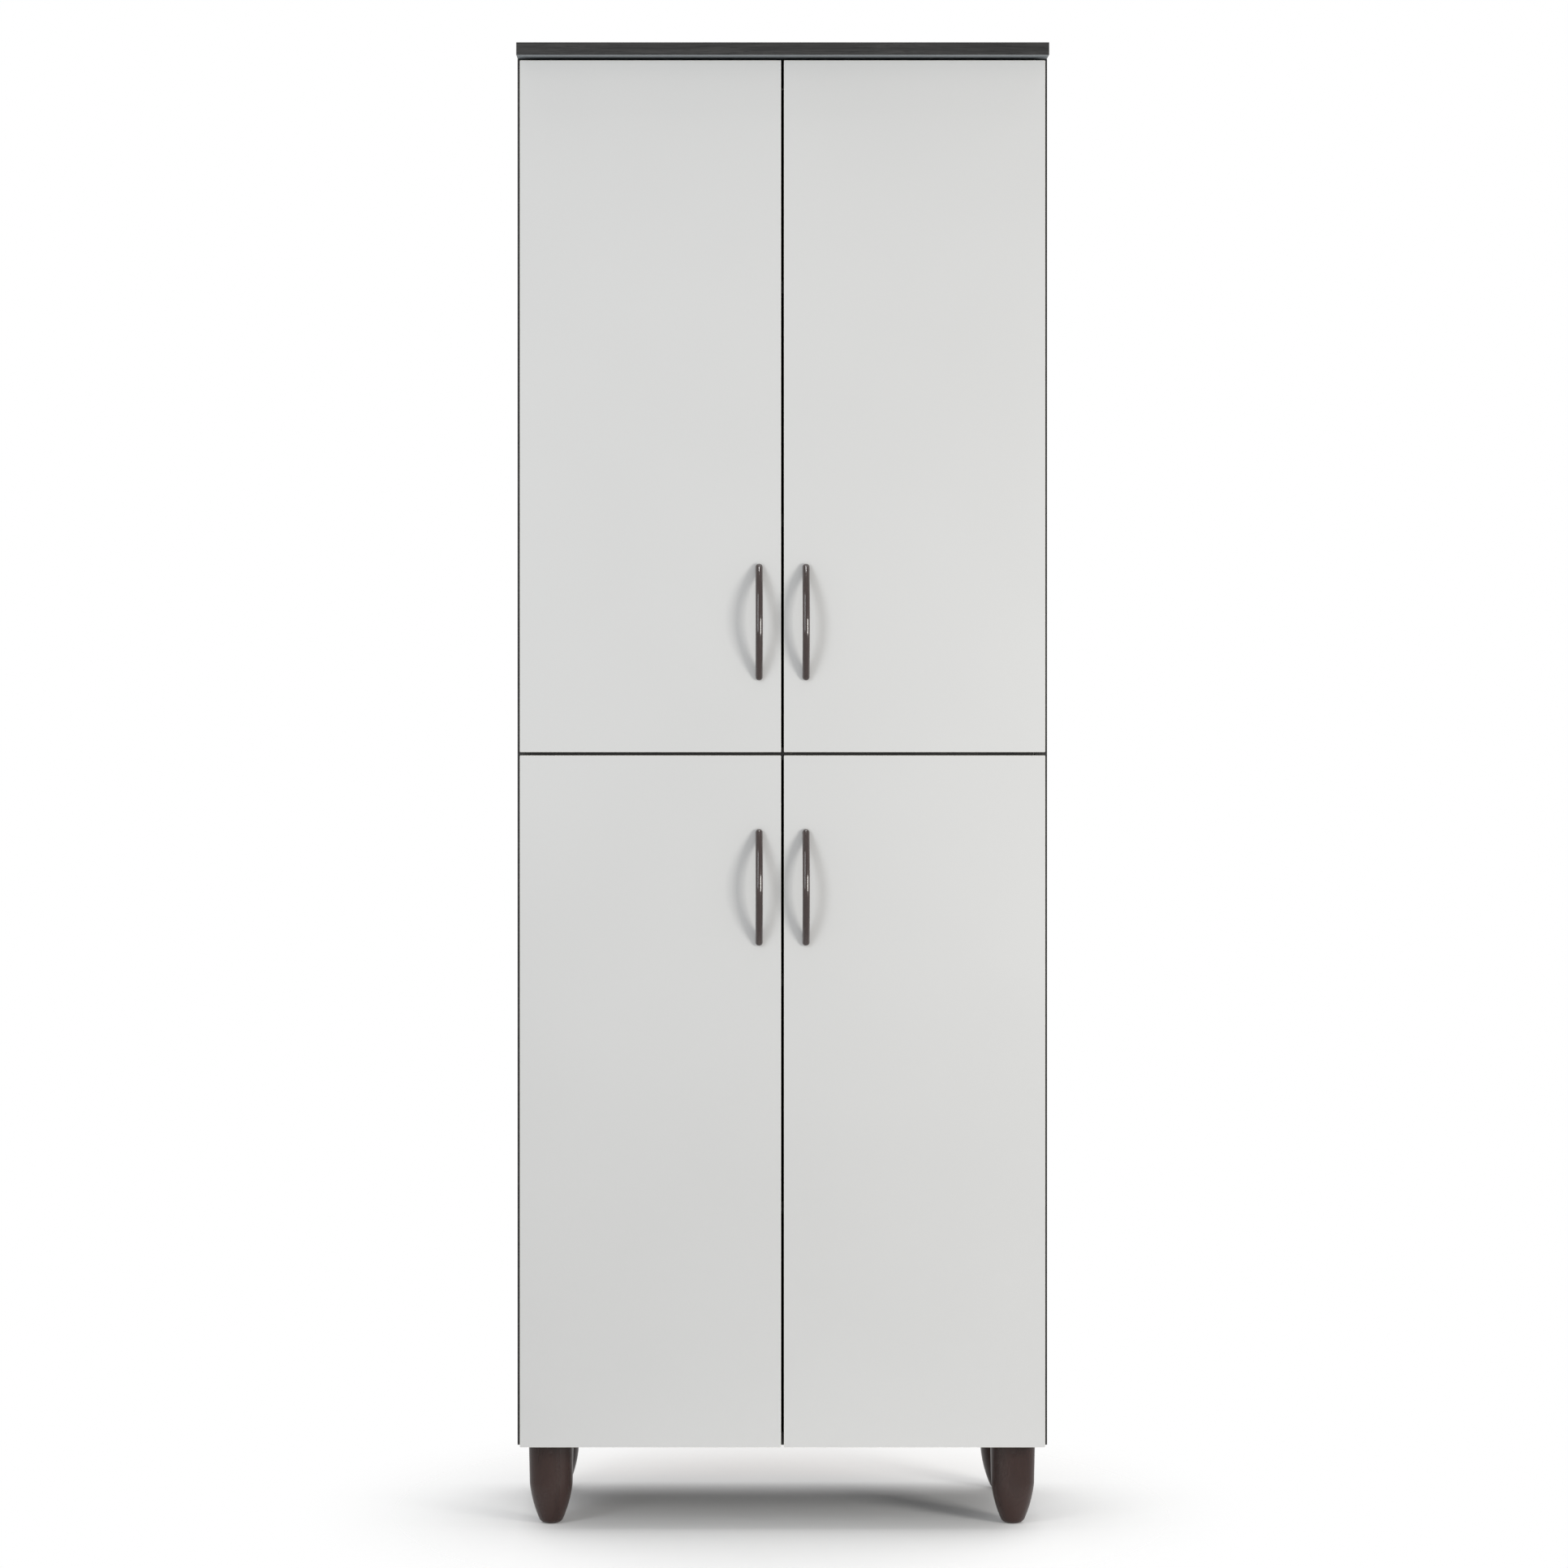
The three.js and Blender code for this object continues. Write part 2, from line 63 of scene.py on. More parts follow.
MM = 0.001
X, Y, Z = range(3)
EDGE_SLOT = 1  # a board's edge strips
LOW_FACE_SLOT = 2  # a board's underside, where it differs from its upper face
CUT_SLOT = 2  # the walls of holes cut into a board
PAINTED_SLOT = 1  # a back board's inner face
FINISH_MARK = "armoire_"
MIX_FACTOR, MIX_COLOURS, MIX_RESULT = 0, (6, 7), 2  # a colour mix node's sockets
WARM = (1.0, 0.985, 0.945)
COOL = (0.94, 0.975, 1.0)
NEUTRAL = (1.0, 1.0, 1.0)
CARCASS = "carcass"
ROWS = ("lower", "upper")
HANDS = ("left", "right")
SETS = [f"{row}_{hand}" for row in ROWS for hand in HANDS]
HINGES = [f"{name}_hinge_{place}" for name in SETS for place in (1, 2)]
SHELVES = [f"{row}_shelf_{place}" for row in ROWS for place in (1, 2)]

# Sizes that the frame's solids share with the visible pieces.
SEAT_GAP = 0.3 * MM  # between pieces that touch
EAR_HALF_WIDTH = 8 * MM
EAR_SHIFT = 4 * MM  # the cup's ears off its middle, inward
EAR_OVERLAP = 2.2 * MM  # an ear's end inside the cup's outline
EAR_UNDERSIDE = 0.95 * MM  # below the cup's lip
EAR_FACE = 0.05 * MM  # below the cup's lip
EAR_EDGE = 0.3 * MM
EAR_CORNER = 3 * MM
PIN_RADIUS = 1.4 * MM
ARM_PLATE = 2 * MM
ARM_HEIGHT = 12 * MM

# Back boards.
BACK_EDGE = 0.3 * MM
BACK_CORNER = 0.8 * MM
NAIL_INSET = 6 * MM  # from a board's edges
NAIL_END = 24 * MM  # first and last nail of a side from the board's ends
BOTTOM_NAIL_END = 48 * MM
BOTTOM_NAILS = 6
NAIL_RADIUS = 2.1 * MM
NAIL_HEIGHT = 0.7 * MM

# Feet. The first three are points of the profile, as shares of the waist's radius and height.
FOOT_TOE = (0.555, 0.1)
FOOT_SOLE_PULL = (0.47, 0.02)
FOOT_BELLY_PULL = (0.91, 0.54)
FOOT_RIM = 0.8 * MM
FOOT_WALL = 3 * MM
FOOT_SOCKET_DEPTH = 4.3 * MM
FOOT_SIDES = 144
CURVE_STEPS = 13
FLARE_STEPS = 60
GATE_MARK_DEPTH = 0.7 * MM
GATE_MARK_WIDTH = 1.6 * MM
GATE_MARK_BELOW_TOP = 12.5 * MM

# Handles: how finely the rod is drawn.
BOW_STATIONS = 61
BOW_SIDES = 40
BALL_STEPS = 12

# Screws.
HEAD_RIM = 0.45  # the rim's share of a head's height
SLOT_DEPTH = 0.55  # share of a head's height
SLOT_HALF_WIDTH = 0.16  # share of a head's radius
SLOT_REACH = 0.62  # share of a head's radius
CUP_SCREW_OFFSET = 25 * MM  # above and below the cup's middle
CUP_SCREW_HEIGHT = 1.1 * MM
HANDLE_SCREW_OFFSET = 64 * MM
HANDLE_SCREW_RADIUS = 4 * MM
HANDLE_SCREW_HEIGHT = 2.2 * MM
WING_SCREW_OFFSET = 16.5 * MM
WING_SCREW_HEIGHT = 1.3 * MM
WING_FROM_REAR = 24 * MM  # the plate's wings to the arm's rear end
CREST_SCREWS_FROM_REAR = (14 * MM, 40 * MM)
CREST_SCREW_HEIGHT = 0.9 * MM
CREST_SCREW_SHARE = 0.85  # of the other screws' radius


# ---- settings

def length_setting(name, description, default):
    """A length that a user may change, in metres."""
    return FloatProperty(name=name, description=description, default=default, unit="LENGTH")


def colour_setting(name, description, default):
    """A colour that a user may change."""
    return FloatVectorProperty(name=name, description=description, default=default, subtype="COLOR")


def power_setting(name, description, default):
    """A light's power that a user may change, in watts."""
    return FloatProperty(name=name, description=description, default=default, unit="POWER")


class ArmoireBoards(PropertyGroup):
    """Edges and drillings of the boards."""

    edge_radius: length_setting("Edge radius", "Rounding of the glued edge strips", 0.45 * MM)
    corner_radius: length_setting("Corner radius", "Rounding of a board's corners", 1.0 * MM)
    carcass_edge: length_setting("Carcass edge", "Rounding of the thin carcass edge strips", 0.4 * MM)
    peg_radius: length_setting("Peg hole radius", "Radius of the shelf peg holes", 2.5 * MM)
    peg_depth: length_setting("Peg hole depth", "Depth of the shelf peg holes", 10 * MM)
    peg_pitch: length_setting("Peg pitch", "Distance between peg holes", 32 * MM)
    peg_front: length_setting("Front pegs", "Front peg row to the panel's front edge", 61 * MM)
    peg_rear: length_setting("Rear pegs", "Rear peg row to the panel's rear edge", 37 * MM)
    cup_fit: length_setting("Cup fit", "Gap round a hinge cup in its recess", 0.25 * MM)
    cap_radius: length_setting("Screw cap radius", "Radius of a cap over an assembly screw", 6 * MM)
    cap_sink: length_setting("Screw cap sink", "Depth of the recess that a cap lies in", 1 * MM)
    cap_fit: length_setting("Screw cap fit", "Gap round a cap in its recess", 0.15 * MM)
    cap_inset: length_setting("Screw cap inset", "Screw cap to the panel's front or rear edge", 50 * MM)


class ArmoireFittings(PropertyGroup):
    """Handles, feet, hinges and small fittings."""

    handle_arc: length_setting("Handle arc", "Half length of the arc to where it meets the door", 69 * MM)
    foot_waist: length_setting("Foot waist", "Height where the foot starts to taper", 48 * MM)
    foot_waist_radius: length_setting("Foot waist radius", "Radius where the foot starts to taper", 25.9 * MM)
    foot_toe: length_setting("Foot sole", "Radius of the flat sole", 8 * MM)
    cup_wall: length_setting("Cup wall", "Thickness of a hinge cup", 1 * MM)
    pressed_edge: length_setting("Pressed edge", "Rounding of the hinges' steel edges", 0.22 * MM)
    screw_radius: length_setting("Screw head", "Radius of a hinge screw's head", 3.4 * MM)
    nail_spacing: length_setting("Nail spacing", "Distance between the nails of the back", 118 * MM)
    segments: IntProperty(
        name="Round segments", description="Segments round a turned piece", default=72, min=12)


class ArmoireColours(PropertyGroup):
    """Base colours of the finishes."""

    white_board: colour_setting("Door board", "White melamine of the doors", (0.70, 0.70, 0.695))
    # The door edge colour is the edge strips' own cream tone, brightened as a painted highlight along the
    # rounded door edges.
    door_band_and_highlight: colour_setting("Door edge", "Edge strips of the doors", (0.84, 0.83, 0.78))
    wenge_dark: colour_setting("Wenge dark", "Dark lines of the wenge grain", (0.012, 0.0118, 0.0120))
    wenge_light: colour_setting("Wenge light", "Light lines of the wenge grain", (0.044, 0.042, 0.041))
    foot_plastic: colour_setting("Feet", "Dark red-brown plastic", (0.040, 0.019, 0.015))
    handle_lacquer: colour_setting("Handles", "Brown gloss lacquer", (0.036, 0.0195, 0.0165))
    nickel: colour_setting("Hinges", "Nickel plate", (0.62, 0.60, 0.56))
    hardboard: colour_setting("Hardboard", "Raw back of the hardboard", (0.235, 0.135, 0.072))


class ArmoireStage(PropertyGroup):
    """Camera and lights."""

    camera_distance: length_setting("Distance", "Camera to the doors' front faces", 5.56)
    camera_height: length_setting("Height", "Camera above the floor", 1.0637)
    camera_side: length_setting("Side", "Camera off the middle, to the right", -0.070)
    lens: FloatProperty(
        name="Lens", description="Focal length in millimetres", default=106.8, unit="CAMERA")
    shift_x: FloatProperty(name="Shift X", description="Sideways shift of the frame", default=0.0383)
    shift_y: FloatProperty(name="Shift Y", description="Upward shift of the frame", default=-0.0911)
    key_power: power_setting("Key", "Power of the right front light", 26.0)
    fill_power: power_setting("Fill", "Power of the left front light", 13.0)
    top_power: power_setting("Top", "Power of the overhead light", 140.0)
    glint_power: power_setting("Glint", "Power of the small high light that only gloss shows", 3.8)
    surround: FloatProperty(name="Surround", description="Strength of the even room light", default=0.50)


GROUPS = {
    "armoire_boards": ArmoireBoards,
    "armoire_fittings": ArmoireFittings,
    "armoire_colours": ArmoireColours,
    "armoire_stage": ArmoireStage,
}


# ---- places

def corners(node):
    """A frame node's lowest and highest corner, as arrays."""
    low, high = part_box(node)
    return np.array(low), np.array(high)


def side_of(name):
    """-1 for a left-hand piece and 1 for a right-hand one."""
    return -1.0 if "left" in name else 1.0


def set_of(hinge):
    """The door set that a hinge belongs to, such as upper_left."""
    return hinge.rsplit("_hinge_", 1)[0]


def joint_place(child):
    """Where the joint that carries a body turns, as an array."""
    return np.array(next(joint["pos_m"] for joint in frame["joints"] if joint["child"] == child))


# ---- surfaces

class Surfaces:
    """Points and faces of one piece, gathered from several surfaces."""

    def __init__(self):
        self.points = []
        self.faces = []
        self.slots = []
        self.count = 0

    def add(self, points, faces, slot=0):
        """Adds one surface; the faces count from its own first point."""
        points = np.asarray(points, float).reshape(-1, 3)
        self.points.append(points)
        self.faces += [(np.asarray(face) + self.count).tolist() for face in faces]
        self.slots += [slot] * len(faces)
        self.count += len(points)
        return self


def grid_faces(rows, columns):
    """Quads between neighbouring rows of a grid whose last column meets its first."""
    row, column = np.meshgrid(np.arange(rows - 1), np.arange(columns), indexing="ij")
    beside = (column + 1) % columns
    here, above = row * columns, (row + 1) * columns
    quads = [here + column, here + beside, above + beside, above + column]
    return list(np.stack(quads, -1).reshape(-1, 4))


def board(low, high, thin, edge, corner, arc_steps=4):
    """A board as loops carried through its thickness. A loop is a rectangle whose corners have the corner
    radius less an inset; inset = edge * (1 - sin a) and depth = edge * (1 - cos a) as a goes from 0 to
    90 degrees at each face."""
    wide, tall = [axis for axis in range(3) if axis != thin]
    middle, half = (low + high) / 2, (high - low) / 2
    quarter = np.linspace(0, math.pi / 2, arc_steps + 1)
    inset = edge * (1 - np.sin(quarter))
    depth = half[thin] - edge * (1 - np.cos(quarter))
    inset, depth = np.r_[inset, inset[::-1]], np.r_[-depth, depth[::-1]]
    angle = (quarter + np.arange(4)[:, None] * math.pi / 2).ravel()
    right = np.repeat([1, -1, -1, 1], arc_steps + 1) * (half[wide] - corner)
    up = np.repeat([1, 1, -1, -1], arc_steps + 1) * (half[tall] - corner)
    radius = (corner - inset)[:, None]
    points = np.empty((len(depth), len(angle), 3))
    points[..., wide] = middle[wide] + right + radius * np.cos(angle)
    points[..., tall] = middle[tall] + up + radius * np.sin(angle)
    points[..., thin] = middle[thin] + depth[:, None]
    loop = np.arange(len(angle))
    faces = grid_faces(len(depth), len(angle))
    return points, faces, [loop[::-1], loop + (len(depth) - 1) * len(angle)]


def turned(profile, centre, axis, segments, outward=1.0):
    """A turned shape: each (radius, height) of the profile goes round the axis, at centre + outward * height.
    Outward is 1 or -1."""
    profile = np.asarray(profile, float)
    one, two = [other for other in range(3) if other != axis]
    angle = np.arange(segments) * 2 * math.pi / segments
    points = np.empty((len(profile), segments, 3))
    points[..., one] = centre[one] + profile[:, :1] * np.cos(angle)
    points[..., two] = centre[two] + profile[:, :1] * np.sin(angle)
    points[..., axis] = centre[axis] + outward * profile[:, 1:]
    return points, grid_faces(len(profile), segments)


def dome(radius, height, steps=5):
    """The profile of a low dome: radius * cos a, height * sin a, closed on its flat underside."""
    angle = np.linspace(0, math.pi / 2, steps + 1)
    rim = np.stack([radius * np.cos(angle), height * np.sin(angle)], -1)
    return np.vstack([[0, 0], rim])


def arc(centre, radius, start, end, count):
    """Points of a profile on a circle, between two angles in degrees: centre + radius * (cos a, sin a)."""
    angle = np.radians(np.linspace(start, end, count))[:, None]
    return np.array(centre) + radius * np.hstack([np.cos(angle), np.sin(angle)])


def drum(radius, half):
    """The profile of a plain cylinder that reaches as far to both sides of its centre."""
    return [(0, -half), (radius, -half), (radius, half), (0, half)]


def screw_head(centre, axis, radius, height, outward, segments=32):
    """A domed head with a cross slot. The height is the dome's, less the slot's depth * f, where f is 1
    within the half width of either arm of the cross and falls smoothly to 0 past it and towards the rim."""
    share = np.array([0, 0.1, 0.2, 0.32, 0.45, 0.58, 0.7, 0.85, 0.95, 1.0])
    crown = height * (HEAD_RIM + (1 - HEAD_RIM) * np.sqrt(1 - share ** 2))
    profile = np.vstack([np.stack([radius * share, crown], -1), [radius, 0], [0, 0]])
    points, faces = turned(profile, centre, axis, segments, outward)
    over, up = [np.abs(points[:-2, :, other] - centre[other]) for other in range(3) if other != axis]
    arm = np.minimum(over, up) / (SLOT_HALF_WIDTH * radius)
    slot = 1 / (1 + arm ** 6) / (1 + (share[:, None] / SLOT_REACH) ** 12)
    points[:-2, :, axis] -= outward * height * SLOT_DEPTH * slot
    return points, faces


# ---- pieces

def finish_mesh(mesh, sharp_angle=40.0):
    """Closes poles, turns the faces outward, and shades smooth except across sharp edges."""
    shape = bmesh.new()
    shape.from_mesh(mesh)
    bmesh.ops.remove_doubles(shape, verts=shape.verts, dist=1e-7)
    bmesh.ops.recalc_face_normals(shape, faces=shape.faces)
    shape.to_mesh(mesh)
    shape.free()
    mesh.shade_smooth()
    mesh.set_sharp_from_angle(angle=math.radians(sharp_angle))


def linked_object(name, data):
    """An object at the origin, put in the scene."""
    made = bpy.data.objects.new(name, data)
    bpy.context.scene.collection.objects.link(made)
    return made


def new_object(name, surfaces, materials):
    """An object at the origin made from gathered surfaces."""
    mesh = bpy.data.meshes.new(name)
    mesh.from_pydata(np.vstack(surfaces.points).tolist(), [], surfaces.faces)
    for material in materials:
        mesh.materials.append(material)
    mesh.polygons.foreach_set("material_index", np.array(surfaces.slots, np.int32))
    finish_mesh(mesh)
    return linked_object(name, mesh)


def place(piece, body, slot, *nodes):
    """Puts a finished piece on a body and hides the frame nodes that it stands for. The slot is not used."""
    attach(piece, body)
    if nodes:
        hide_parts(*nodes)
    return piece


def keep_flat(piece):
    """Keeps the broad faces of a board flat in the shading, next to their narrow roundings."""
    weighted = piece.modifiers.new("flat faces", "WEIGHTED_NORMAL")
    weighted.keep_sharp = True
    weighted.weight = 100
    return piece


def carve(piece, cutter_surfaces):
    """Cuts closed shapes out of a piece; the cut walls keep the slot numbers of the cutter's faces."""
    cutter = new_object(piece.name + "_cutter", cutter_surfaces, piece.data.materials)
    cut = piece.modifiers.new("cut", "BOOLEAN")
    cut.object = cutter
    cut.operation = "DIFFERENCE"
    cut.solver = "EXACT"
    cut.material_mode = "INDEX"
    evaluated = piece.evaluated_get(bpy.context.evaluated_depsgraph_get())
    mesh = bpy.data.meshes.new_from_object(evaluated)
    piece.modifiers.clear()
    piece.data = mesh
    bpy.data.objects.remove(cutter)
    mesh.shade_smooth()
    mesh.set_sharp_from_angle(angle=math.radians(30))


def softened_copy(node, name, bevel, material):
    """A copy of a frame node's mesh with its triangles merged into flat faces and its edges bevelled."""
    shape = bmesh.new()
    shape.from_mesh(frame["nodes"][node].data)
    bmesh.ops.remove_doubles(shape, verts=shape.verts, dist=1e-6)
    bmesh.ops.dissolve_limit(
        shape, angle_limit=math.radians(1), verts=shape.verts, edges=shape.edges,
        use_dissolve_boundaries=False)
    mesh = bpy.data.meshes.new(name)
    shape.to_mesh(mesh)
    shape.free()
    mesh.materials.append(material)
    mesh.shade_smooth()
    piece = linked_object(name, mesh)
    rounding = piece.modifiers.new("rounding", "BEVEL")
    rounding.width = bevel
    rounding.segments = 2
    rounding.limit_method = "ANGLE"
    rounding.angle_limit = math.radians(35)
    rounding.harden_normals = True
    return piece


# ---- materials

def feed(made, inputs):
    """Sets a node's inputs; each is a value, or a socket to link."""
    for name, value in inputs.items():
        if isinstance(value, bpy.types.NodeSocket):
            made.id_data.links.new(value, made.inputs[name])
        else:
            made.inputs[name].default_value = value
    return made


def node(tree, kind, inputs=None, **settings):
    """Adds a shader node with its settings and inputs."""
    made = tree.nodes.new(kind)
    for name, value in settings.items():
        setattr(made, name, value)
    return feed(made, inputs or {})


def new_material(name):
    """A material with only its shader and output; returns the material, its tree and the shader."""
    material = bpy.data.materials.new(name)
    material.use_nodes = True
    return material, material.node_tree, material.node_tree.nodes["Principled BSDF"]


def stretched(tree, scale=(1, 1, 1)):
    """Object coordinates in metres, scaled along each axis."""
    place_in = node(tree, "ShaderNodeTexCoord").outputs["Object"]
    return node(tree, "ShaderNodeMapping", {"Vector": place_in, "Scale": scale}).outputs["Vector"]


def noise(tree, vector, scale, detail=3.0, roughness=0.5, distortion=0.0):
    """A noise value from 0 to 1."""
    inputs = {"Vector": vector, "Scale": scale, "Detail": detail, "Roughness": roughness,
              "Distortion": distortion}
    return node(tree, "ShaderNodeTexNoise", inputs).outputs["Fac"]


def spread(tree, value, low, high, to_low=0.0, to_high=1.0):
    """A value from low..high carried to to_low..to_high."""
    inputs = {"Value": value, "From Min": low, "From Max": high, "To Min": to_low, "To Max": to_high}
    return node(tree, "ShaderNodeMapRange", inputs).outputs["Result"]


def blended(tree, factor, one, two, blend="MIX"):
    """Two colours, or a colour and a socket, mixed by a factor."""
    inputs = {MIX_FACTOR: factor, MIX_COLOURS[0]: one, MIX_COLOURS[1]: two}
    for socket in MIX_COLOURS:
        if not isinstance(inputs[socket], bpy.types.NodeSocket):
            inputs[socket] = (*inputs[socket][:3], 1.0)
    return node(tree, "ShaderNodeMix", inputs, data_type="RGBA", blend_type=blend).outputs[MIX_RESULT]


def tint(colour, factor):
    """A colour made lighter or darker."""
    return tuple(channel * factor for channel in colour[:3])


def summed(tree, one, two, share):
    """one + two * share."""
    inputs = {0: two, 1: share, 2: one}
    return node(tree, "ShaderNodeMath", inputs, operation="MULTIPLY_ADD").outputs[0]


def set_bump(tree, shader, height, strength, distance):
    """Joins a height to the shader's normal."""
    inputs = {"Height": height, "Strength": strength, "Distance": distance}
    feed(shader, {"Normal": node(tree, "ShaderNodeBump", inputs).outputs["Normal"]})


def melamine_material(name, colour, gloss):
    """Plain melamine film: faint clouding of the tone, a fine pearl texture and slightly uneven gloss."""
    material, tree, shader = new_material(name)
    plain = stretched(tree)
    cloud = noise(tree, plain, 3.2, 2.0)
    pearl = noise(tree, plain, 900.0, 2.0, 0.55)
    speck = noise(tree, plain, 2600.0, 1.0)
    tone = spread(tree, cloud, 0.3, 0.7)
    base = blended(tree, tone, tint(colour, 0.985), tint(colour, 1.012))
    fine = spread(tree, speck, 0.35, 0.65, 0.97, 1.01)
    rough = spread(tree, pearl, 0.3, 0.7, gloss - 0.04, gloss + 0.05)
    shown = blended(tree, 1.0, base, fine, "MULTIPLY")
    feed(shader, {"Base Color": shown, "Roughness": rough, "Specular IOR Level": 0.45})
    set_bump(tree, shader, summed(tree, pearl, speck, 0.4), 0.22, 0.00006)
    return material


def wenge_material(name, along, colours):
    """Dark wenge film: wavering straight grain, narrow dark pores that are pressed in, and a satin sheen."""
    material, tree, shader = new_material(name)
    place_in = node(tree, "ShaderNodeTexCoord").outputs["Object"]
    slow_noise = {"Vector": place_in, "Scale": 2.3, "Detail": 2.0}
    slow = node(tree, "ShaderNodeTexNoise", slow_noise).outputs["Color"]
    half = (0.5, 0.5, 0.5)
    centred = node(tree, "ShaderNodeVectorMath", {0: slow, 1: half}, operation="SUBTRACT").outputs[0]
    sway = node(tree, "ShaderNodeVectorMath", {0: centred, "Scale": 0.03}, operation="SCALE").outputs[0]
    moved = node(tree, "ShaderNodeVectorMath", {0: place_in, 1: sway}, operation="ADD").outputs[0]

    def grain(long_scale, cross_scale, detail):
        scale = [cross_scale] * 3
        scale[along] = long_scale
        vector = node(tree, "ShaderNodeMapping", {"Vector": moved, "Scale": scale}).outputs["Vector"]
        return noise(tree, vector, 1.0, detail, 0.6)

    bands = grain(1.6, 70.0, 4.0)
    lines = grain(5.0, 520.0, 3.0)
    pores = grain(38.0, 1700.0, 2.0)
    stripe = summed(tree, bands, lines, 0.8)
    tone = spread(tree, stripe, 0.70, 1.12)
    base = blended(tree, tone, colours.wenge_dark, colours.wenge_light)
    pore = spread(tree, pores, 0.55, 0.64, 0.0, 0.85)
    shown = blended(tree, pore, base, tint(colours.wenge_dark, 0.4))
    feed(shader, {"Base Color": shown, "Roughness": spread(tree, lines, 0.3, 0.7, 0.36, 0.50)})
    feed(shader, {"Coat Weight": 0.2, "Coat Roughness": 0.2})
    set_bump(tree, shader, summed(tree, lines, pores, -1.2), 0.5, 0.0001)
    return material


def hardboard_material(colours):
    """Raw hardboard: matted brown fibre with the square screen pattern pressed into its rear face."""
    material, tree, shader = new_material("hardboard_raw")
    plain = stretched(tree)
    fibre = noise(tree, stretched(tree, (1, 1, 0.45)), 420.0, 5.0, 0.65, 0.6)
    cloud = noise(tree, plain, 9.0, 3.0)
    tone = spread(tree, summed(tree, fibre, cloud, 0.22), 0.4, 0.82)
    base = blended(tree, tone, tint(colours.hardboard, 0.62), tint(colours.hardboard, 1.25))
    feed(shader, {"Base Color": base, "Roughness": spread(tree, fibre, 0.3, 0.7, 0.72, 0.9)})
    wave = {"Vector": plain, "Scale": 190.0}
    across = node(tree, "ShaderNodeTexWave", wave, bands_direction="X").outputs["Fac"]
    upward = node(tree, "ShaderNodeTexWave", wave, bands_direction="Z").outputs["Fac"]
    screen = node(tree, "ShaderNodeMath", {0: across, 1: upward}, operation="MULTIPLY").outputs[0]
    set_bump(tree, shader, summed(tree, fibre, screen, 0.9), 0.5, 0.00025)
    return material


def chipboard_material():
    """Cut chipboard, seen inside drilled holes: tan flakes with dark glue between them."""
    material, tree, shader = new_material("raw_chipboard")
    plain = stretched(tree)
    flakes = node(tree, "ShaderNodeTexVoronoi", {"Vector": plain, "Scale": 700.0})
    dust = noise(tree, plain, 1500.0, 3.0)
    base = blended(tree, spread(tree, dust, 0.3, 0.7), (0.20, 0.12, 0.06), (0.46, 0.31, 0.17))
    seams = spread(tree, flakes.outputs["Distance"], 0.3, 0.7, 1.0, 0.55)
    feed(shader, {"Base Color": blended(tree, 1.0, base, seams, "MULTIPLY"), "Roughness": 0.85})
    set_bump(tree, shader, dust, 0.5, 0.0003)
    return material


def plastic_material(name, colour, gloss, grain_depth):
    """Moulded plastic: faint flow clouds, a fine spark-eroded grain and a satin skin."""
    material, tree, shader = new_material(name)
    plain = stretched(tree)
    flow = noise(tree, stretched(tree, (1, 1, 0.3)), 42.0, 3.0, 0.5, 0.8)
    fine = noise(tree, plain, 1900.0, 2.0, 0.6)
    tone = spread(tree, flow, 0.3, 0.7)
    base = blended(tree, tone, tint(colour, 0.86), tint(colour, 1.16))
    rough = spread(tree, summed(tree, flow, fine, 0.5), 0.45, 1.05, gloss - 0.05, gloss + 0.08)
    feed(shader, {"Base Color": base, "Roughness": rough})
    set_bump(tree, shader, fine, 0.3, grain_depth)
    return material


def lacquer_material(colours):
    """Brown gloss lacquer over metal: deep colour with faint streaks under a clear skin with a slight
    orange peel."""
    material, tree, shader = new_material("brown_lacquer")
    streak = noise(tree, stretched(tree, (1, 1, 0.08)), 520.0, 3.0)
    peel = noise(tree, stretched(tree), 260.0, 1.5)
    tone = spread(tree, streak, 0.3, 0.7)
    colour = colours.handle_lacquer
    base = blended(tree, tone, tint(colour, 0.8), tint(colour, 1.2))
    rough = spread(tree, streak, 0.3, 0.7, 0.16, 0.24)
    feed(shader, {"Base Color": base, "Roughness": rough, "Specular IOR Level": 0.4})
    feed(shader, {"Coat Weight": 1.0, "Coat Roughness": 0.05, "Coat IOR": 1.6})
    set_bump(tree, shader, peel, 0.04, 0.0002)
    return material


def nickel_material(name, colour, dull=0.0):
    """Nickel-plated pressed steel: drawn lines along the sheet, soft clouds of tarnish and a bright skin."""
    material, tree, shader = new_material(name)
    drawn = noise(tree, stretched(tree, (1, 0.03, 1)), 2400.0, 2.0)
    cloud = noise(tree, stretched(tree), 110.0, 4.0, 0.6)
    tone = spread(tree, cloud, 0.35, 0.7)
    base = blended(tree, tone, tint(colour, 1.05), tint(colour, 0.78))
    rough = summed(tree, spread(tree, drawn, 0.3, 0.7, 0.2 + dull, 0.3 + dull), cloud, 0.12)
    feed(shader, {"Base Color": base, "Roughness": rough, "Metallic": 1.0})
    set_bump(tree, shader, drawn, 0.08, 0.00005)
    return material


def rubber_material():
    """Milky silicone of the door bumpers, with dust on it."""
    material, tree, shader = new_material("silicone")
    dust = noise(tree, stretched(tree), 900.0, 3.0)
    base = blended(tree, spread(tree, dust, 0.4, 0.7), (0.66, 0.67, 0.66), (0.5, 0.5, 0.48))
    feed(shader, {"Base Color": base, "Roughness": spread(tree, dust, 0.3, 0.7, 0.28, 0.5)})
    reach = (2 * MM, 2 * MM, 2 * MM)
    feed(shader, {"Subsurface Weight": 0.3, "Subsurface Radius": reach, "Subsurface Scale": 1.0})
    set_bump(tree, shader, dust, 0.1, 0.0001)
    return material


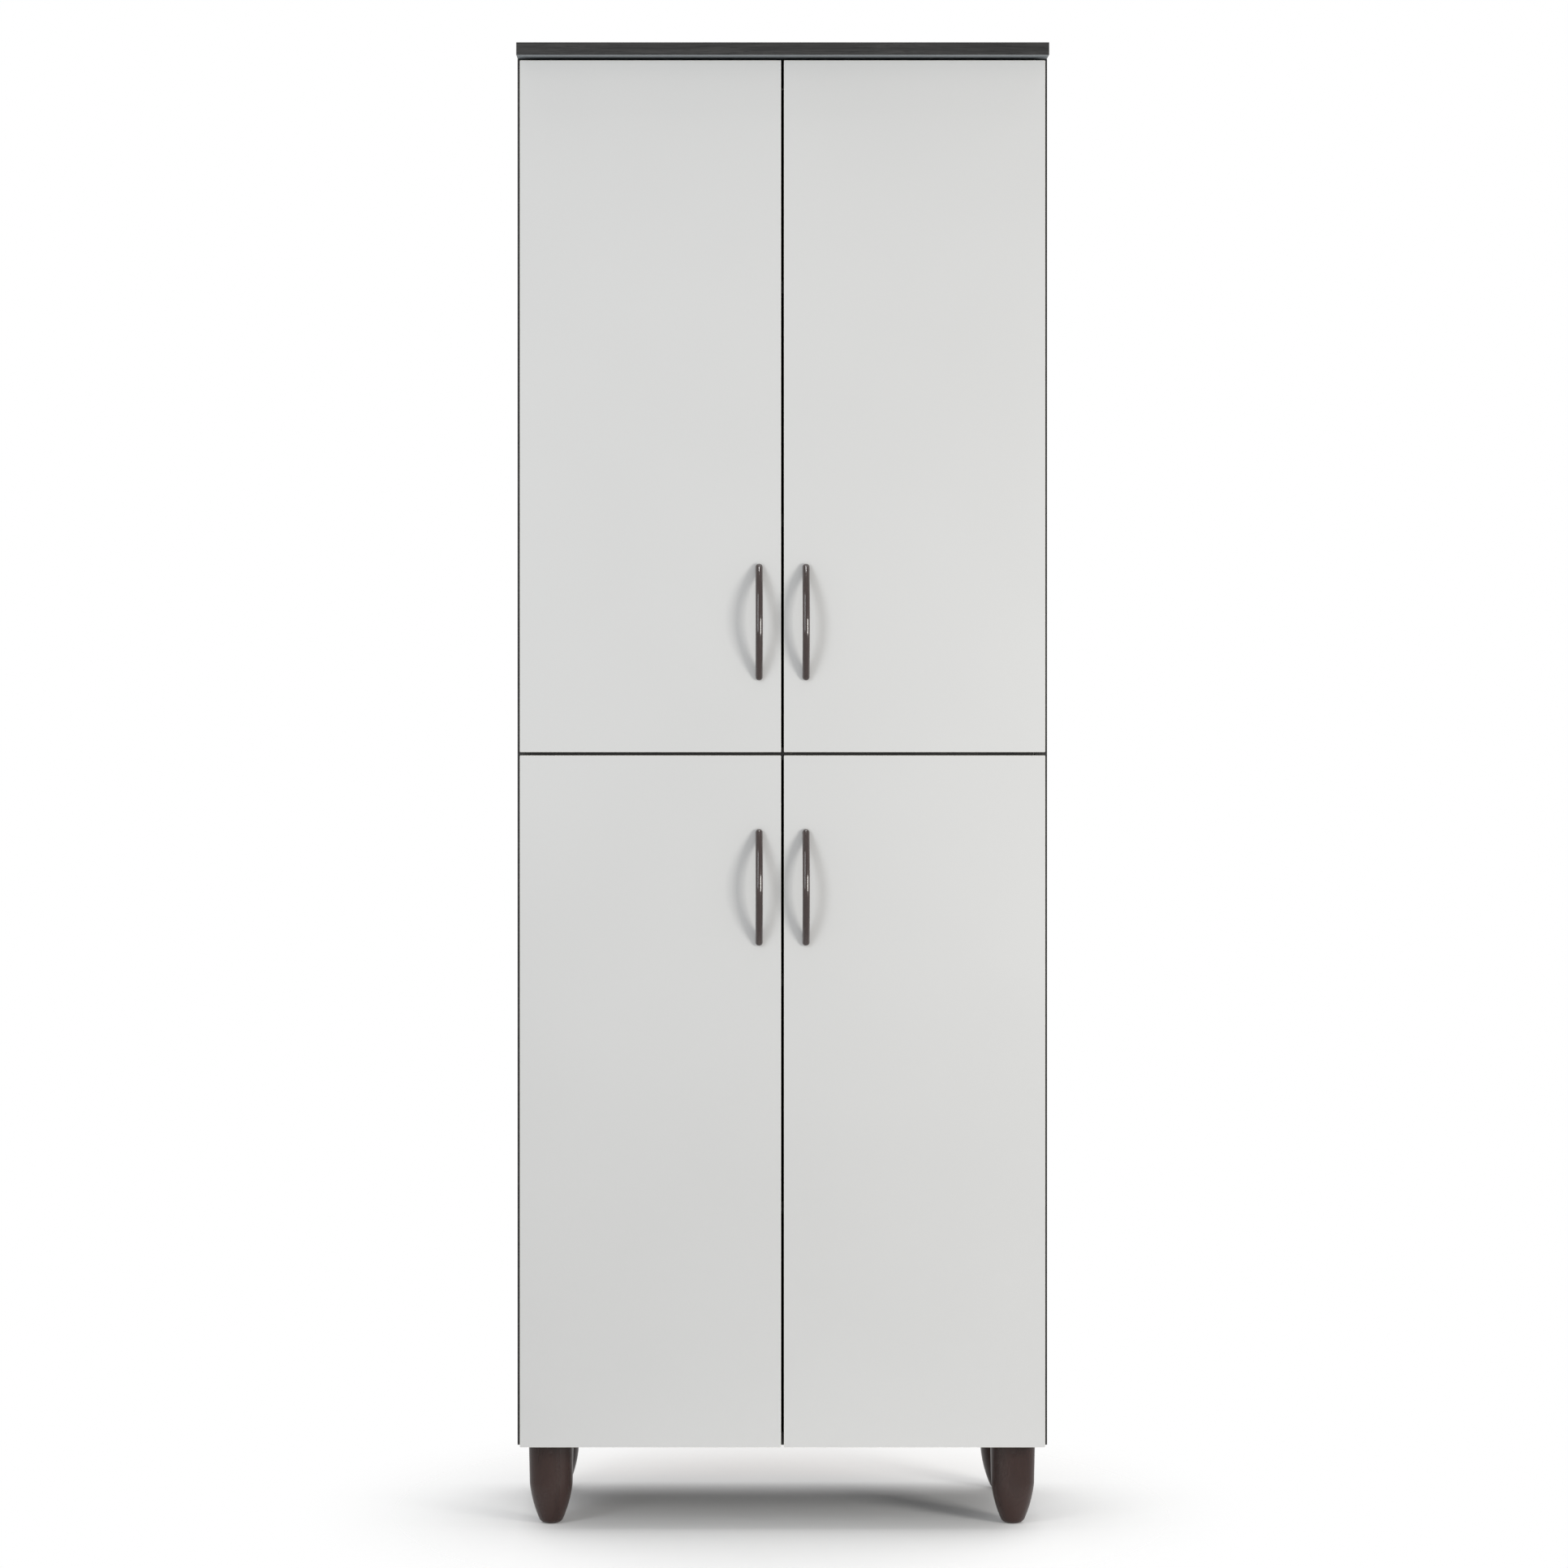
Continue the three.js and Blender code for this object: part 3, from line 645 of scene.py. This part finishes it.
def floor_material():
    """Pale matt floor with a faint unevenness, which fades into the empty surround with the distance."""
    material, tree, shader = new_material("pale_floor")
    cloud = noise(tree, stretched(tree), 1.3, 3.0)
    base = blended(tree, spread(tree, cloud, 0.3, 0.7), (0.90, 0.90, 0.90), (0.92, 0.92, 0.92))
    feed(shader, {"Base Color": base, "Roughness": 0.9, "Specular IOR Level": 0.1})
    across = stretched(tree, (1.4, 1.25, 0))
    away = node(tree, "ShaderNodeVectorMath", {0: across}, operation="LENGTH").outputs["Value"]
    fade = {"Value": away, "From Min": 0.3, "From Max": 0.85, "To Min": 1.0, "To Max": 0.0}
    near = node(tree, "ShaderNodeMapRange", fade, interpolation_type="SMOOTHSTEP").outputs["Result"]
    feed(shader, {"Alpha": near})
    return material


def finish(name):
    """The material of that name, made when it is first asked for."""
    colours = bpy.context.scene.armoire_colours
    made = bpy.data.materials.get(FINISH_MARK + name)
    if made:
        return made
    makers = {
        "white_melamine": lambda: melamine_material(name, colours.white_board, 0.40),
        # Door edge strips: their own cream tone, made lighter as a painted highlight on the rounded edges.
        "door_edge_strip_and_highlight": lambda: melamine_material(name, colours.door_band_and_highlight, 0.34),
        "wenge_across": lambda: wenge_material(name, X, colours),
        "wenge_upright": lambda: wenge_material(name, Z, colours),
        "hardboard_raw": lambda: hardboard_material(colours),
        "hardboard_painted": lambda: melamine_material(name, (0.035, 0.033, 0.032), 0.5),
        "raw_chipboard": chipboard_material,
        "foot_plastic": lambda: plastic_material(name, colours.foot_plastic, 0.27, 0.00002),
        "black_plastic": lambda: plastic_material(name, (0.016, 0.016, 0.017), 0.42, 0.00008),
        "brown_lacquer": lambda: lacquer_material(colours),
        # Painted reflection: a bluish grey for the top board's underside, standing for the sheen of the
        # bright floor and doors seen on it.
        "underside_painted_sheen": lambda: melamine_material(name, (0.27, 0.295, 0.315), 0.45),
        "nickel": lambda: nickel_material(name, colours.nickel),
        "zinc": lambda: nickel_material(name, (0.48, 0.48, 0.47), 0.14),
        "silicone": rubber_material,
        "pale_floor": floor_material,
    }
    made = makers[name]()
    made.name = FINISH_MARK + name
    return made


# ---- operators

def board_piece(node_name, thin, materials, edge, corner):
    """A board with rounded edge strips in a frame node's box. The materials are the high face's, the edge
    strips' and, where there are three, the low face's."""
    low, high = corners(node_name)
    points, walls, (low_face, high_face) = board(low, high, thin, edge, corner)
    surfaces = Surfaces().add(points, [high_face])
    surfaces.faces += [face.tolist() for face in walls] + [low_face.tolist()]
    surfaces.slots += [EDGE_SLOT] * len(walls) + [LOW_FACE_SLOT if len(materials) > LOW_FACE_SLOT else 0]
    return new_object(node_name + "_board", surfaces, materials)


def side_panel(side):
    """A side panel's corners and the places across of its inner and outer faces."""
    low, high = corners("left_side_panel" if side < 0 else "right_side_panel")
    return low, high, *((high[X], low[X]) if side < 0 else (low[X], high[X]))


def peg_places(boards, side):
    """Middles of the pegs on a side panel's inner face: each shelf's height in the front and rear columns."""
    low, high, inner, _ = side_panel(side)
    columns = (low[Y] + boards.peg_front, high[Y] - boards.peg_rear)
    heights = [corners(shelf)[0][Z] - SEAT_GAP - boards.peg_radius for shelf in SHELVES]
    return np.array([(inner, y, z) for z in heights for y in columns])


def cap_places(boards, side):
    """Middles of the screw caps on a side panel's outer face, level with the bottom and the middle board."""
    low, high, _, outer = side_panel(side)
    heights = [sum(corners(panel))[Z] / 2 for panel in ("bottom_panel", "middle_panel")]
    columns = (low[Y] + boards.cap_inset, high[Y] - boards.cap_inset)
    return np.array([(outer, y, z) for z in heights for y in columns])


class ARMOIRE_OT_carcass(Operator):
    """Make the side panels with their peg holes, the top, bottom and middle boards and the shelves"""

    bl_idname = "armoire.carcass"
    bl_label = "Carcass boards"

    def execute(self, context):
        boards = context.scene.armoire_boards
        edge, corner = boards.carcass_edge, boards.corner_radius
        across = [finish("wenge_across")] * 2
        # The top board's underside gets a bluish grey that is a painted reflection of the bright floor and
        # doors.
        top = board_piece("top_panel", Z, [*across, finish("underside_painted_sheen")], edge, corner)
        place(keep_flat(top), CARCASS, "wenge_board", "top_panel")
        for name in ["bottom_panel", "middle_panel", *SHELVES]:
            place(keep_flat(board_piece(name, Z, across, edge, corner)), CARCASS, "wenge_board", name)
        for name, side in (("left_side_panel", -1), ("right_side_panel", 1)):
            panel = board_piece(name, X, [finish("wenge_upright")] * 2, edge, corner)
            panel.data.materials.append(finish("raw_chipboard"))
            carve(panel, self.drillings(boards, side))
            place(keep_flat(panel), CARCASS, "wenge_board", name)
        return {"FINISHED"}

    @staticmethod
    def drillings(boards, side):
        """What is cut out of a side panel: three peg holes at each peg and a recess for each screw cap."""
        holes = Surfaces()
        peg_hole = drum(boards.peg_radius, boards.peg_depth)
        for middle in peg_places(boards, side):
            for step in (-1, 0, 1):
                centre = middle + [0, 0, step * boards.peg_pitch]
                holes.add(*turned(peg_hole, centre, X, 16), CUT_SLOT)
        cap_recess = drum(boards.cap_radius + boards.cap_fit, boards.cap_sink)
        for middle in cap_places(boards, side):
            holes.add(*turned(cap_recess, middle, X, 32), CUT_SLOT)
        return holes


class ARMOIRE_OT_back(Operator):
    """Make the two hardboard backs, painted inside and raw outside, their nails and the joining strip"""

    bl_idname = "armoire.back"
    bl_label = "Back boards"

    def execute(self, context):
        spacing = context.scene.armoire_fittings.nail_spacing
        nails = Surfaces()
        for name in ("lower_back_panel", "upper_back_panel"):
            low, high = corners(name)
            points, walls, (inner, outer) = board(low, high, Y, BACK_EDGE, BACK_CORNER, 2)
            surfaces = Surfaces().add(points, [outer])
            surfaces.faces += [inner.tolist()] + [face.tolist() for face in walls]
            surfaces.slots += [PAINTED_SLOT] + [0] * len(walls)
            materials = [finish("hardboard_raw"), finish("hardboard_painted")]
            piece = new_object(name + "_sheet", surfaces, materials)
            place(keep_flat(piece), CARCASS, "hardboard", name)
            start, end = low[Z] + NAIL_END, high[Z] - NAIL_END
            heights = np.linspace(start, end, round((end - start) / spacing))
            spots = [(x, z) for z in heights for x in (low[X] + NAIL_INSET, high[X] - NAIL_INSET)]
            if name.startswith("lower"):
                widths = np.linspace(low[X] + BOTTOM_NAIL_END, high[X] - BOTTOM_NAIL_END, BOTTOM_NAILS)
                spots += [(x, low[Z] + NAIL_INSET) for x in widths]
            for x, z in spots:
                nails.add(*turned(dome(NAIL_RADIUS, NAIL_HEIGHT, 4), (x, high[Y], z), Y, 14))
        place(new_object("back_nails", nails, [finish("zinc")]), CARCASS, "nickel_steel")
        frame["nodes"]["back_joining_strip"].data.materials[0] = finish("black_plastic")
        return {"FINISHED"}


class ARMOIRE_OT_feet(Operator):
    """Make the tapering feet with their gate marks"""

    bl_idname = "armoire.feet"
    bl_label = "Feet"

    def execute(self, context):
        fittings = context.scene.armoire_fittings
        for row in ("front", "rear"):
            for hand in HANDS:
                name = f"{row}_{hand}_foot"
                surfaces = Surfaces().add(*self.foot(name, fittings, -1.0 if row == "front" else 1.0))
                piece = new_object(name + "_moulding", surfaces, [finish("foot_plastic")])
                place(piece, CARCASS, "brown_plastic", name)
                frame["nodes"][name + "_plate"].data.materials[0] = finish("black_plastic")
        return {"FINISHED"}

    @staticmethod
    def foot(name, fittings, facing):
        """A foot turned round its middle. From the sole up, the profile is a quadratic curve out to the
        toe, another up to the waist, a straight flare to the top, and a rounded rim over the socket. The
        gate mark is a round dip, depth * exp(-(distance / width) ^ 2), on the side that faces outward."""
        low, high = corners(name)
        middle, radius = (low + high) / 2, (high[X] - low[X]) / 2
        top, waist, waist_radius = high[Z], fittings.foot_waist, fittings.foot_waist_radius
        scale = np.array([waist_radius, waist])
        toe = scale * FOOT_TOE
        t = np.linspace(0, 1, CURVE_STEPS)[:, None]

        def curve(start, pull, end):
            return (1 - t) ** 2 * start + 2 * t * (1 - t) * pull + t ** 2 * end

        sole = curve(np.array([fittings.foot_toe, 0]), scale * FOOT_SOLE_PULL, toe)
        belly = curve(toe, scale * FOOT_BELLY_PULL, scale)
        rise = np.linspace(waist, top - FOOT_RIM, FLARE_STEPS)
        flare = np.stack([waist_radius + (radius - waist_radius) * (rise - waist) / (top - waist), rise], -1)
        rim = arc((radius - FOOT_RIM, top - FOOT_RIM), FOOT_RIM, 0, 90, 5)
        socket, floor = radius - FOOT_WALL, top - FOOT_SOCKET_DEPTH
        inside = [(socket, top), (socket, floor), (0, floor)]
        profile = np.vstack([[0, 0], sole, belly[1:], flare[1:], rim[1:], inside])
        points, faces = turned(profile, (middle[X], middle[Y], 0), Z, FOOT_SIDES)
        over = points[..., X] - middle[X]
        up = points[..., Z] - (top - GATE_MARK_BELOW_TOP)
        below_rim = (np.arange(len(profile)) <= len(profile) - len(rim) - len(inside))[:, None]
        marked = below_rim * (facing * (points[..., Y] - middle[Y]) > 0)
        dip = np.exp(-(over ** 2 + up ** 2) / GATE_MARK_WIDTH ** 2)
        points[..., Y] -= facing * GATE_MARK_DEPTH * dip * marked
        return points, faces


class ARMOIRE_OT_doors(Operator):
    """Make the four doors with their edge strips and hinge recesses"""

    bl_idname = "armoire.doors"
    bl_label = "Doors"

    def execute(self, context):
        boards = context.scene.armoire_boards
        for name in SETS:
            node_name = name + "_door"
            # The second material is the door edge colour, which carries a painted highlight on the rounded
            # edges.
            materials = [finish("white_melamine"), finish("door_edge_strip_and_highlight")]
            door = board_piece(node_name, Y, materials, boards.edge_radius, boards.corner_radius)
            door.data.materials.append(finish("raw_chipboard"))
            recesses = Surfaces()
            rear = corners(node_name)[1][Y]
            for number in (1, 2):
                low, high = corners(f"{name}_hinge_{number}_cup")
                recess = drum((high[X] - low[X]) / 2 + boards.cup_fit, rear + SEAT_GAP - low[Y])
                centre = ((low[X] + high[X]) / 2, rear, (low[Z] + high[Z]) / 2)
                recesses.add(*turned(recess, centre, Y, 64), CUT_SLOT)
            carve(door, recesses)
            place(keep_flat(door), node_name, "white_board", node_name)
        return {"FINISHED"}


class ARMOIRE_OT_handles(Operator):
    """Make the four bow handles"""

    bl_idname = "armoire.handles"
    bl_label = "Handles"

    def execute(self, context):
        fittings = context.scene.armoire_fittings
        for name in SETS:
            handle = name + "_handle"
            surfaces = Surfaces().add(*self.bow(handle, fittings))
            piece = new_object(handle + "_bow", surfaces, [finish("brown_lacquer")])
            place(piece, name + "_door", "brown_lacquer", handle)
        return {"FINISHED"}

    @staticmethod
    def bow(handle, fittings):
        """A round rod swept along an arc. The arc's height is rise * (1 - (z / arc) ^ 2). Past each end
        the rings shrink as a ball does: centre + tangent * r sin a, radius r cos a. What would pass the
        door's face lies on it."""
        low, high = corners(handle)
        radius = (high[X] - low[X]) / 2
        middle = (low + high) / 2
        half = (high[Z] - low[Z]) / 2 - radius
        face = high[Y]
        door_face = face + SEAT_GAP
        rise = door_face - low[Y] - radius
        along = np.linspace(-half, half, BOW_STATIONS)
        ball = np.linspace(0, math.pi / 2, BALL_STEPS + 1)[1:]
        at = np.r_[np.full(BALL_STEPS, -half), along, np.full(BALL_STEPS, half)]
        turn = np.r_[-ball[::-1], np.zeros(BOW_STATIONS), ball]
        depth = (door_face - rise * (1 - (at / fittings.handle_arc) ** 2))[:, None]
        slope = 2 * rise * at / fittings.handle_arc ** 2
        length = np.sqrt(1 + slope ** 2)
        tangent = np.stack([slope / length, 1 / length], -1)
        across = np.stack([1 / length, -slope / length], -1)
        angle = np.arange(BOW_SIDES) * 2 * math.pi / BOW_SIDES
        ring = (radius * np.cos(turn))[:, None]
        shift = (radius * np.sin(turn))[:, None]
        out = ring * np.sin(angle)
        points = np.empty((len(at), len(angle), 3))
        points[..., X] = middle[X] + ring * np.cos(angle)
        points[..., Y] = np.minimum(depth + tangent[:, :1] * shift + across[:, :1] * out, face)
        points[..., Z] = middle[Z] + at[:, None] + tangent[:, 1:] * shift + across[:, 1:] * out
        return points, grid_faces(len(at), len(angle))


class ARMOIRE_OT_hinges(Operator):
    """Make the hinge cups, arms and links"""

    bl_idname = "armoire.hinges"
    bl_label = "Hinges"

    def execute(self, context):
        fittings = context.scene.armoire_fittings
        nickel = finish("nickel")
        for hinge in HINGES:
            cup = Surfaces()
            self.cup(cup, hinge, fittings)
            owner = set_of(hinge)
            piece = new_object(hinge + "_cup_pressing", cup, [nickel])
            place(piece, owner + "_door", "nickel_steel", hinge + "_cup")
            for part in ("arm", "outer_link", "inner_link"):
                node_name = f"{hinge}_{part}"
                body = CARCASS if part == "arm" else f"{owner}_{part}s"
                piece = softened_copy(node_name, node_name + "_pressing", fittings.pressed_edge, nickel)
                place(piece, body, "nickel_steel", node_name)
        return {"FINISHED"}

    @staticmethod
    def cup(surfaces, hinge, fittings):
        """A cup turned round the recess's middle, with rounded floor and lip, two ears with rounded corners,
        and the pin that the outer link turns on."""
        low, high = corners(hinge + "_cup")
        radius, wall = (high[X] - low[X]) / 2, fittings.cup_wall
        centre = np.array([(low[X] + high[X]) / 2, high[Y], (low[Z] + high[Z]) / 2])
        deep = low[Y] - high[Y]
        bend, lip, inner = 1.6 * MM, 0.45 * MM, radius - wall
        below = arc((radius - bend, deep + bend), bend, -90, 0, 6)
        over = arc((radius - lip, -lip), lip, 0, 90, 6)
        within = arc((inner + lip, -lip), lip, 90, 180, 6)
        floor = arc((inner - bend, deep + wall + bend), bend, 0, -90, 6)
        profile = np.vstack([[0, deep], below, over, within, floor, [0, deep + wall]])
        surfaces.add(*turned(profile, centre, Y, fittings.segments))
        shift = -side_of(hinge) * EAR_SHIFT
        near, far = radius - EAR_OVERLAP, high[Z] - centre[Z]
        for end in (-1, 1):
            reach = sorted((end * near, end * far))
            ear_low = np.array([shift - EAR_HALF_WIDTH, -EAR_UNDERSIDE, reach[0]]) + centre
            ear_high = np.array([shift + EAR_HALF_WIDTH, -EAR_FACE, reach[1]]) + centre
            points, walls, faces = board(ear_low, ear_high, Y, EAR_EDGE, EAR_CORNER, 5)
            surfaces.add(points, walls + faces)
        pin = joint_place(set_of(hinge) + "_door")
        half = math.sqrt(inner ** 2 - (pin[X] - centre[X]) ** 2)
        surfaces.add(*turned(drum(PIN_RADIUS, half), (pin[X], pin[Y], centre[Z]), Z, 20))


class ARMOIRE_OT_screws(Operator):
    """Make the screws of the hinges and handles"""

    bl_idname = "armoire.screws"
    bl_label = "Screws"

    def execute(self, context):
        fittings = context.scene.armoire_fittings
        radius = fittings.screw_radius
        plates = Surfaces()
        for name in SETS:
            heads = Surfaces()
            inward = -side_of(name)
            door_rear = corners(name + "_door")[1][Y]
            for number in (1, 2):
                low, high = corners(f"{name}_hinge_{number}_cup")
                centre = (low + high) / 2
                for rise in (-CUP_SCREW_OFFSET, CUP_SCREW_OFFSET):
                    spot = np.array([centre[X] + inward * EAR_SHIFT, high[Y] - EAR_FACE, centre[Z] + rise])
                    heads.add(*screw_head(spot, Y, radius, CUP_SCREW_HEIGHT, 1))
                self.arm_screws(plates, f"{name}_hinge_{number}_arm", inward, radius)
            middle = sum(corners(name + "_handle")) / 2
            for rise in (-HANDLE_SCREW_OFFSET, HANDLE_SCREW_OFFSET):
                spot = np.array([middle[X], door_rear, middle[Z] + rise])
                heads.add(*screw_head(spot, Y, HANDLE_SCREW_RADIUS, HANDLE_SCREW_HEIGHT, 1))
            place(new_object(name + "_door_screws", heads, [finish("zinc")]), name + "_door", "nickel_steel")
        place(new_object("hinge_plate_screws", plates, [finish("zinc")]), CARCASS, "nickel_steel")
        return {"FINISHED"}

    @staticmethod
    def arm_screws(surfaces, arm, inward, radius):
        """Two screws in the mounting plate's wings and two in the arm's crest."""
        low, high = corners(arm)
        base = high[X] if inward < 0 else low[X]
        middle = (low[Z] + high[Z]) / 2
        for rise in (-WING_SCREW_OFFSET, WING_SCREW_OFFSET):
            spot = np.array([base + inward * ARM_PLATE, high[Y] - WING_FROM_REAR, middle + rise])
            surfaces.add(*screw_head(spot, X, radius, WING_SCREW_HEIGHT, inward))
        for back in CREST_SCREWS_FROM_REAR:
            spot = np.array([base + inward * ARM_HEIGHT, high[Y] - back, middle])
            surfaces.add(*screw_head(spot, X, CREST_SCREW_SHARE * radius, CREST_SCREW_HEIGHT, inward))


class ARMOIRE_OT_small_fittings(Operator):
    """Make the shelf pegs, screw caps, cam covers and door bumpers"""

    bl_idname = "armoire.small_fittings"
    bl_label = "Small fittings"

    def execute(self, context):
        boards = context.scene.armoire_boards
        pegs, caps = Surfaces(), Surfaces()
        for side in (-1, 1):
            for middle in peg_places(boards, side):
                pegs.add(*turned(self.peg(boards), middle, X, 20, -side))
            for middle in cap_places(boards, side):
                sunk = middle - [side * boards.cap_sink, 0, 0]
                caps.add(*turned(dome(boards.cap_radius, 0.9 * boards.cap_sink), sunk, X, 32, side))
            self.cam_covers(caps, side)
        place(new_object("shelf_pegs", pegs, [finish("nickel")]), CARCASS, "nickel_steel")
        place(new_object("screw_caps", caps, [finish("black_plastic")]), CARCASS, "black_plastic")
        for name in SETS:
            self.bumpers(name)
        return {"FINISHED"}

    @staticmethod
    def peg(boards):
        """A peg's profile: a pin in the hole, a thin collar at the panel and a rounded stub that the shelf
        lies on."""
        pin, stub = boards.peg_radius - 0.15 * MM, boards.peg_radius + 0.2 * MM
        collar, deep, out = boards.peg_radius + 1.3 * MM, boards.peg_depth - 0.5 * MM, 8 * MM
        collar_back, collar_front, rounding = 0.05 * MM, 0.8 * MM, 1 * MM
        end = arc((stub - rounding, out - rounding), rounding, 0, 90, 5)
        start = [(0, -deep), (pin, -deep), (pin, collar_back), (collar, collar_back)]
        return np.vstack([start, [collar, collar_front], [stub, collar_front], end, [0, out]])

    @staticmethod
    def cam_covers(surfaces, side):
        """Covers over the cam locks of the top board, inside a side panel."""
        low, high, inner, _ = side_panel(side)
        inset, drop, radius, height = 50 * MM, 34 * MM, 8.5 * MM, 0.9 * MM
        for y in (low[Y] + inset, high[Y] - inset):
            surfaces.add(*turned(dome(radius, height), (inner, y, high[Z] - drop), X, 36, -side))

    @staticmethod
    def bumpers(name):
        """Small domes on the door's inner face, where it closes on the carcass boards."""
        low, high = corners(name + "_door")
        meeting = high[X] if "left" in name else low[X]
        inset, radius, tall = 14 * MM, 3 * MM, 1.9 * MM
        from_gap, from_bottom = 3.4 * MM, 7.5 * MM
        x = meeting + side_of(name) * inset
        heights = [low[Z] + from_gap]
        if name.startswith("lower"):
            heights = [low[Z] + from_bottom, high[Z] - from_gap]
        surfaces = Surfaces()
        for z in heights:
            surfaces.add(*turned(dome(radius, tall, 8), (x, high[Y], z), Y, 32))
        place(new_object(name + "_bumpers", surfaces, [finish("silicone")]), name + "_door", "black_plastic")


class ARMOIRE_OT_stage(Operator):
    """Make the floor, the lights and the camera"""

    bl_idname = "armoire.stage"
    bl_label = "Floor, lights and camera"

    def execute(self, context):
        scene, stage = context.scene, context.scene.armoire_stage
        self.floor()
        self.world(scene, stage)
        front = corners("lower_left_door")[0][Y]
        # Each light's name, place, aim, size, colour and power.
        lights = (
            ("key_light", (1.75, front - 1.6, 0.88), (0, front, 0.9), (0.6, 0.7), WARM, stage.key_power),
            ("fill_light", (-1.35, front - 1.6, 1.5), (0, front, 1.2), (0.5, 1.7), COOL, stage.fill_power),
            ("top_light", (0.35, 1.5, 4.2), (0.35, 1.2, 0), (5.0, 5.0), NEUTRAL, stage.top_power),
            ("glint_light", (0, front - 0.75, 2.68), (0, front, 1.1), (0.2, 0.2), NEUTRAL, stage.glint_power),
        )
        for light in lights:
            made = self.light(*light)
            made.visible_diffuse = made.name != "glint_light"
        camera = bpy.data.cameras.new("camera")
        camera.lens = stage.lens
        camera.sensor_width = 36.0
        camera.shift_x, camera.shift_y = stage.shift_x, stage.shift_y
        camera.clip_end = 100.0
        seen = linked_object("camera", camera)
        seen.location = (stage.camera_side, front - stage.camera_distance, stage.camera_height)
        seen.rotation_euler = (math.pi / 2, 0, 0)
        scene.camera = seen
        scene.view_settings.view_transform = "Standard"
        return {"FINISHED"}

    @staticmethod
    def floor():
        """A wide flat floor."""
        mesh = bpy.data.meshes.new("floor")
        half = 2.5
        outline = [(-half, -half, 0), (half, -half, 0), (half, half, 0), (-half, half, 0)]
        mesh.from_pydata(outline, [], [(0, 1, 2, 3)])
        mesh.materials.append(finish("pale_floor"))
        ground = linked_object("floor", mesh)

    @staticmethod
    def world(scene, stage):
        """Even white light; the empty background itself is seen as white."""
        world = bpy.data.worlds.new("surround")
        world.use_nodes = True
        tree = world.node_tree
        seen = tree.nodes.new("ShaderNodeLightPath").outputs["Is Camera Ray"]
        strength = spread(tree, seen, 0.0, 1.0, stage.surround, 1.0)
        feed(tree.nodes["Background"], {"Color": (1.0, 1.0, 1.0, 1.0), "Strength": strength})
        scene.world = world

    @staticmethod
    def light(name, where, aim, size, colour, power):
        """A soft rectangular light that points at a place."""
        lamp = bpy.data.lights.new(name, "AREA")
        lamp.shape = "RECTANGLE"
        lamp.size, lamp.size_y = size
        lamp.color = colour
        lamp.energy = power
        made = linked_object(name, lamp)
        made.location = where
        away = np.array(where) - np.array(aim)
        flat = math.hypot(away[0], away[1])
        made.rotation_euler = (math.atan2(flat, away[2]), 0, math.atan2(away[0], -away[1]))
        return made


OPERATORS = (
    ARMOIRE_OT_stage,
    ARMOIRE_OT_carcass,
    ARMOIRE_OT_back,
    ARMOIRE_OT_feet,
    ARMOIRE_OT_doors,
    ARMOIRE_OT_handles,
    ARMOIRE_OT_hinges,
    ARMOIRE_OT_screws,
    ARMOIRE_OT_small_fittings,
)


class ARMOIRE_PT_sidebar(Panel):
    """Lists the settings and the steps in the sidebar."""

    bl_idname = "ARMOIRE_PT_sidebar"
    bl_label = "Armoire"
    bl_space_type = "VIEW_3D"
    bl_region_type = "UI"
    bl_category = "Armoire"

    def draw(self, context):
        for name, group in GROUPS.items():
            box = self.layout.box()
            for setting in group.__annotations__:
                box.prop(getattr(context.scene, name), setting)
        for operator in OPERATORS:
            self.layout.operator(operator.bl_idname)


def register():
    """Registers the settings, the operators and the panel."""
    for name, group in GROUPS.items():
        bpy.utils.register_class(group)
        setattr(bpy.types.Scene, name, PointerProperty(type=group))
    for operator in OPERATORS:
        bpy.utils.register_class(operator)
    bpy.utils.register_class(ARMOIRE_PT_sidebar)


def unregister():
    """Takes the panel, the operators and the settings away again."""
    bpy.utils.unregister_class(ARMOIRE_PT_sidebar)
    for operator in reversed(OPERATORS):
        bpy.utils.unregister_class(operator)
    for name, group in reversed(GROUPS.items()):
        delattr(bpy.types.Scene, name)
        bpy.utils.unregister_class(group)


def main():
    """Builds everything."""
    register()
    for operator in OPERATORS:
        area, call = operator.bl_idname.split(".")
        if getattr(getattr(bpy.ops, area), call)() != {"FINISHED"}:
            raise RuntimeError(f"{operator.bl_label} did not finish")


if __name__ == "__main__":
    main()
